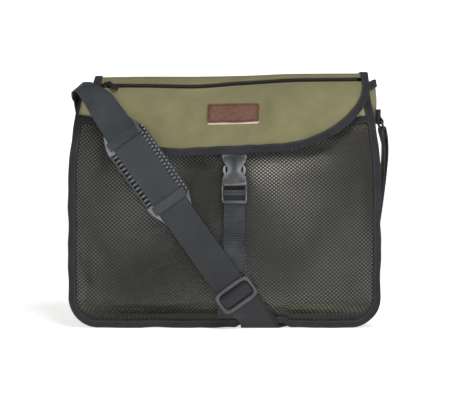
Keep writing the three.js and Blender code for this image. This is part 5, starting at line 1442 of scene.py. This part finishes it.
# Flat woven polyester webbing: dark grey and smooth, with fine ribs along it, paler at its middle heights as
# painted light and darker and browner towards the ground as painted shade
smooth_webbing = ribbed_material("smooth_grey_webbing_painted_light_shade", "#272A2D", "#35393C", 0.6, "X", 1.5, 0.25,
                                 (("painted_light", "#474B4E"), ("painted_shade", "#2A2729")))
dress(strap, smooth_webbing, "webbing", "shoulder_strap")


# Slider: a moulded frame of rounded bars with a third bar across its middle, on which the strap's end is
# sewn.
SLIDER_FRAME = {
    "half_width": 21.4, "half_length": 12.2, "power": 6, "bar": 2.5, "half_height": 1.25, "lift": 2.3,
}
MIDDLE_BAR = {"half_width": 1.4, "half_height": 0.95}
SLIDER_STEPS = {"frame": 120, "bar": 9, "section": 14}


def closed_quads(rows, columns):
    """The faces of a grid that is joined up in both ways."""
    row, column = np.meshgrid(np.arange(rows), np.arange(columns), indexing="ij")
    after_row, after_column = (row + 1) % rows, (column + 1) % columns
    corners = [(row, column), (row, after_column), (after_row, after_column), (after_row, column)]
    return np.stack([r * columns + c for r, c in corners], axis=2).reshape(-1, 4)


def slider_frame(steps, around):
    """The frame: an oval section carried round a squared oval, in the strap's own frame."""
    turn = np.linspace(0, 2 * math.pi, steps, endpoint=False)
    cos, sin = np.cos(turn), np.sin(turn)
    power = SLIDER_FRAME["power"]
    reach = (np.abs(cos) ** power + np.abs(sin) ** power) ** (-1 / power)
    across, along = SLIDER_FRAME["half_width"] * cos * reach, SLIDER_FRAME["half_length"] * sin * reach
    outline = np.stack([across, along], axis=1)
    way = unit(np.roll(outline, -1, axis=0) - np.roll(outline, 1, axis=0))
    section = np.linspace(0, 2 * math.pi, around, endpoint=False)[None]
    out = SLIDER_FRAME["bar"] * np.cos(section)
    return on_strap(SLIDER_S + along[:, None] - way[:, :1] * out, across[:, None] + way[:, 1:] * out,
                    SLIDER_FRAME["lift"] + SLIDER_FRAME["half_height"] * np.sin(section))


def slider_bar(steps, around):
    """The middle bar: an oval section carried across the frame, closed to a point at its hidden ends."""
    share = np.linspace(-1, 1, steps)[:, None]
    section = np.linspace(0, 2 * math.pi, around, endpoint=False)[None]
    size = np.clip((1 - np.abs(share)) * 1e3, 0, 1)
    return on_strap(SLIDER_S + size * MIDDLE_BAR["half_width"] * np.cos(section),
                    share * SLIDER_FRAME["half_width"],
                    SLIDER_BAR + size * MIDDLE_BAR["half_height"] * np.sin(section))


section_steps = SLIDER_STEPS["section"]
frame_grid = slider_frame(SLIDER_STEPS["frame"], section_steps)
bar_grid = slider_bar(SLIDER_STEPS["bar"], section_steps)
bar_quads = closed_quads(SLIDER_STEPS["bar"], section_steps)[:-section_steps] + frame_grid[..., 0].size
slider = put_mesh("strap_slider_frame", np.vstack([frame_grid.reshape(-1, 3), bar_grid.reshape(-1, 3)]),
                  np.vstack([closed_quads(SLIDER_STEPS["frame"], section_steps), bar_quads]))

# Moulded acetal: a satin dark grey that is lit softly along its round bars
slider_plastic = plastic_material("satin_grey_plastic", "#393A3D", "#4C4D50", 0.38)
dress(slider, slider_plastic, "black_plastic", "strap_slider")


# Shoulder pad: a moulded rubber strip under the strap, kept on it by two bands. Its left margin has deep
# ribs between two smooth rounded ends, its right margin two rows of studs.
PAD = {"from": 46, "to": 172, "half": 27.5, "end_half": 19.4, "taper": 26, "thickness": 4.2, "under": 1.8}
PAD_STEPS = {"along": 311, "margin": 18, "channel": 9}
PAD_RIM = {"width": 2.6, "drop": 2}
PAD_CHAMFER = {"width": 2, "rise": 1.6}  # of its lower edge
CHANNEL_HALF = 19.1
CHANNEL_SHARE = (0.74, 0.745)  # shares of the pad's half width between which the channel's side stands
RIBS = {
    "from": 73, "to": 146, "pitch": 5.6, "top": 0.6, "groove": -5, "slope": 0.12,
    "shoulder": (0.2, 0.36), "slot_end": 24.6, "slot_round": 0.6,
}
STUDS = {
    "from": 60, "to": 158, "pitch": 5, "rows": (-21.4, -25.1), "height": 3.4, "radius": 1.75, "foot": -3.0,
}
SMOOTH_TOP = 0.1  # of the right margin beyond its studs
# Its painted highlight: shares on each raised part, the heights between which it begins and is full, and
# the places across between which it ends on the ribs
PAD_HIGHLIGHT = {"ribs": 0.315, "outer_ribs": 0.021, "ends": 0.588, "studs": 0.63, "smooth": 0.231}
PAD_HIGHLIGHT_AT = {"left": (-4, 0.1), "right": (-2.4, 0.2), "ribs_end": (22.5, 25)}
END_REACH = 2  # how far the smooth ends' painted highlight stays from the ribs
KEEPER = {"half_length": 5.5, "thickness": 1.2, "places": {"upper": 63, "lower": 154.5}}
KEEPER_ARCH = {"a": (-22.4, -21.4, -19, -10, 0, 10, 19, 21.4, 22.4),
               "n": (0.45, 0.5, 1.75, 1.85, 1.9, 1.85, 1.75, 0.5, 0.45)}


def pad_half(s):
    """Half the pad's width along it: rounded off as a sine towards its two ends."""
    from_end = np.clip(np.minimum(s - PAD["from"], PAD["to"] - s) / PAD["taper"], 0, 1)
    return PAD["end_half"] + (PAD["half"] - PAD["end_half"]) * np.sin(from_end * math.pi / 2)


def pad_top(s, a):
    """Height of the pad's upper face: a flat channel under the strap; in the left margin square ribs with
    rounded shoulders, rounded off at the pad's rim; in the right one round studs."""
    phase = np.abs(((s - RIBS["from"]) / RIBS["pitch"]) % 1 - 0.5)
    ribbed = (s > RIBS["from"]) & (s < RIBS["to"])
    slot_from, slot_to = RIBS["slot_end"] - RIBS["slot_round"], RIBS["slot_end"] + RIBS["slot_round"]
    slot = ribbed * fade(*RIBS["shoulder"], phase) * (1 - fade(slot_from, slot_to, a))
    sloped = RIBS["slope"] * np.maximum(a - CHANNEL_HALF, 0)
    left = RIBS["top"] + (RIBS["groove"] - RIBS["top"]) * slot - sloped
    studs = np.zeros_like(s)
    for row, studs_a in enumerate(STUDS["rows"]):
        start = STUDS["from"] + row * STUDS["pitch"] / 2
        step = (s - start + STUDS["pitch"] / 2) % STUDS["pitch"] - STUDS["pitch"] / 2
        round_off = 1 - (step ** 2 + (a - studs_a) ** 2) / STUDS["radius"] ** 2
        studs = np.maximum(studs, np.sqrt(np.maximum(round_off, 0)))
    inside = (s > STUDS["from"]) & (s < STUDS["to"])
    right = np.where(inside, STUDS["foot"] + STUDS["height"] * studs, SMOOTH_TOP)
    margin = np.where(a > 0, left, right)
    rim = np.clip((np.abs(a) - (pad_half(s) - PAD_RIM["width"])) / PAD_RIM["width"], 0, 1)
    margin = margin - PAD_RIM["drop"] * (1 - np.sqrt(1 - rim ** 2)) * (a > 0)
    return np.where(np.abs(a) < CHANNEL_HALF, -PAD["under"], margin)


pad_s = np.linspace(PAD["from"], PAD["to"], PAD_STEPS["along"])[:, None]
pad_margin = np.linspace(CHANNEL_SHARE[1], 1, PAD_STEPS["margin"])
pad_channel = np.linspace(-CHANNEL_SHARE[0], CHANNEL_SHARE[0], PAD_STEPS["channel"])
pad_a = np.r_[-pad_margin[::-1], pad_channel, pad_margin][None] * pad_half(pad_s)
pad_height = pad_top(pad_s + 0 * pad_a, pad_a)
to_edge = np.abs(pad_a) - pad_half(pad_s) + PAD_CHAMFER["width"]
pad_rise = PAD_CHAMFER["rise"] * np.clip(to_edge / PAD_CHAMFER["width"], 0, 1)
pad_low = pad_rise - PAD["under"] - PAD["thickness"]
pad = slab("shoulder_pad_rubber", on_strap(pad_s, pad_a, pad_height), on_strap(pad_s, pad_a, pad_low), 35)
pad_studded = (pad_s > STUDS["from"]) & (pad_s < STUDS["to"])
pad_ribbed = (pad_s > RIBS["from"] - END_REACH) & (pad_s < RIBS["to"] + END_REACH)
outwards = fade(*PAD_HIGHLIGHT_AT["ribs_end"], pad_a)
rib_highlight = PAD_HIGHLIGHT["ribs"] + (PAD_HIGHLIGHT["outer_ribs"] - PAD_HIGHLIGHT["ribs"]) * outwards
left_highlight = np.where(pad_ribbed, rib_highlight, PAD_HIGHLIGHT["ends"]) * fade(*PAD_HIGHLIGHT_AT["left"], pad_height)
stud_highlight = PAD_HIGHLIGHT["studs"] * fade(*PAD_HIGHLIGHT_AT["right"], pad_height)
right_highlight = np.where(pad_studded, stud_highlight, PAD_HIGHLIGHT["smooth"])
pad_highlight = np.where(pad_a > 0, left_highlight, right_highlight)
paint(pad, "painted_highlight", np.stack([pad_highlight, 0 * pad_highlight]))

# Moulded rubber: dark grey with a low gloss, with a pale painted highlight on its raised parts
RUBBER_PATCH = 6.25
pad_rubber = surface("dark_grey_rubber", Roughness=0.45)
rubber_grain = grain(pad_rubber, RUBBER_PATCH, 4)
finish(pad_rubber, rubber_grain, ((0.3, "#27292C"), (0.75, "#33373A")), (("painted_highlight", "#8C9093"),),
       rubber_grain, 0.15, 0.3)
dress(pad, pad_rubber, "pad_rubber", "shoulder_pad")

keeper_arch = curve(KEEPER_ARCH, "a", "n")
keeper_a = np.linspace(KEEPER_ARCH["a"][0], KEEPER_ARCH["a"][-1], 60)[None]
for keeper, keeper_s in KEEPER["places"].items():
    keeper_rows = keeper_s + np.linspace(-1, 1, 7)[:, None] * KEEPER["half_length"]
    band = cloth_wall(f"pad_keeper_{keeper}_band", on_strap(keeper_rows, keeper_a, keeper_arch(keeper_a)),
                      KEEPER["thickness"])
    # The bands get no painted highlight
    paint(band, "painted_highlight", np.zeros(len(band.data.vertices)))
    dress(band, pad_rubber, "pad_rubber", f"pad_keeper_{keeper}")


# Ring and its tab: a plastic loop at the right side that the strap turns round, hung in a doubled piece of
# webbing sewn on the gusset.
RING_TAB_WIDTH = 36
RING_TAB_TOP = ((186.5, 262), (186.3, 254))
RING_TOP = {"x": 189.3, "z": 247.2}

# Moulded nylon: plain black with a satin shine
black_plastic = plastic_material("black_moulded_plastic", "#232426", "#333436", 0.35)
ring = from_cad("strap_ring")
rounder = ring.modifiers.new("round_wire", "SUBSURF")
rounder.levels = 2
rounder.render_levels = 2
dress(ring, black_plastic, "black_plastic", "strap_ring")

tab_top = np.array([(x, RING["y"], z) for x, z in RING_TAB_TOP], float)
ring_turn_y, ring_turn_z = around_bar(RING["wire"] / 2, RING["wire"] / 2, (4, 5, 6, 7, 8))
ring_turn = np.stack([ring_turn_y, 0 * ring_turn_y, ring_turn_z], axis=1)
ring_turn = ring_turn + np.array([RING_TOP["x"], RING["y"], RING_TOP["z"]])
ring_tab_fine = spline(np.concatenate([tab_top, ring_turn, tab_top[::-1] + np.array([LAYER, 0, 0])]), 2)
half_across = np.tile(np.array([0, RING_TAB_WIDTH / 2, 0]), (len(ring_tab_fine), 1))
ring_tab = ribbon("ring_tab_webbing", ring_tab_fine, half_across, WEBBING_COLUMNS)
dress(ring_tab, grey_webbing, "webbing", "ring_tab")
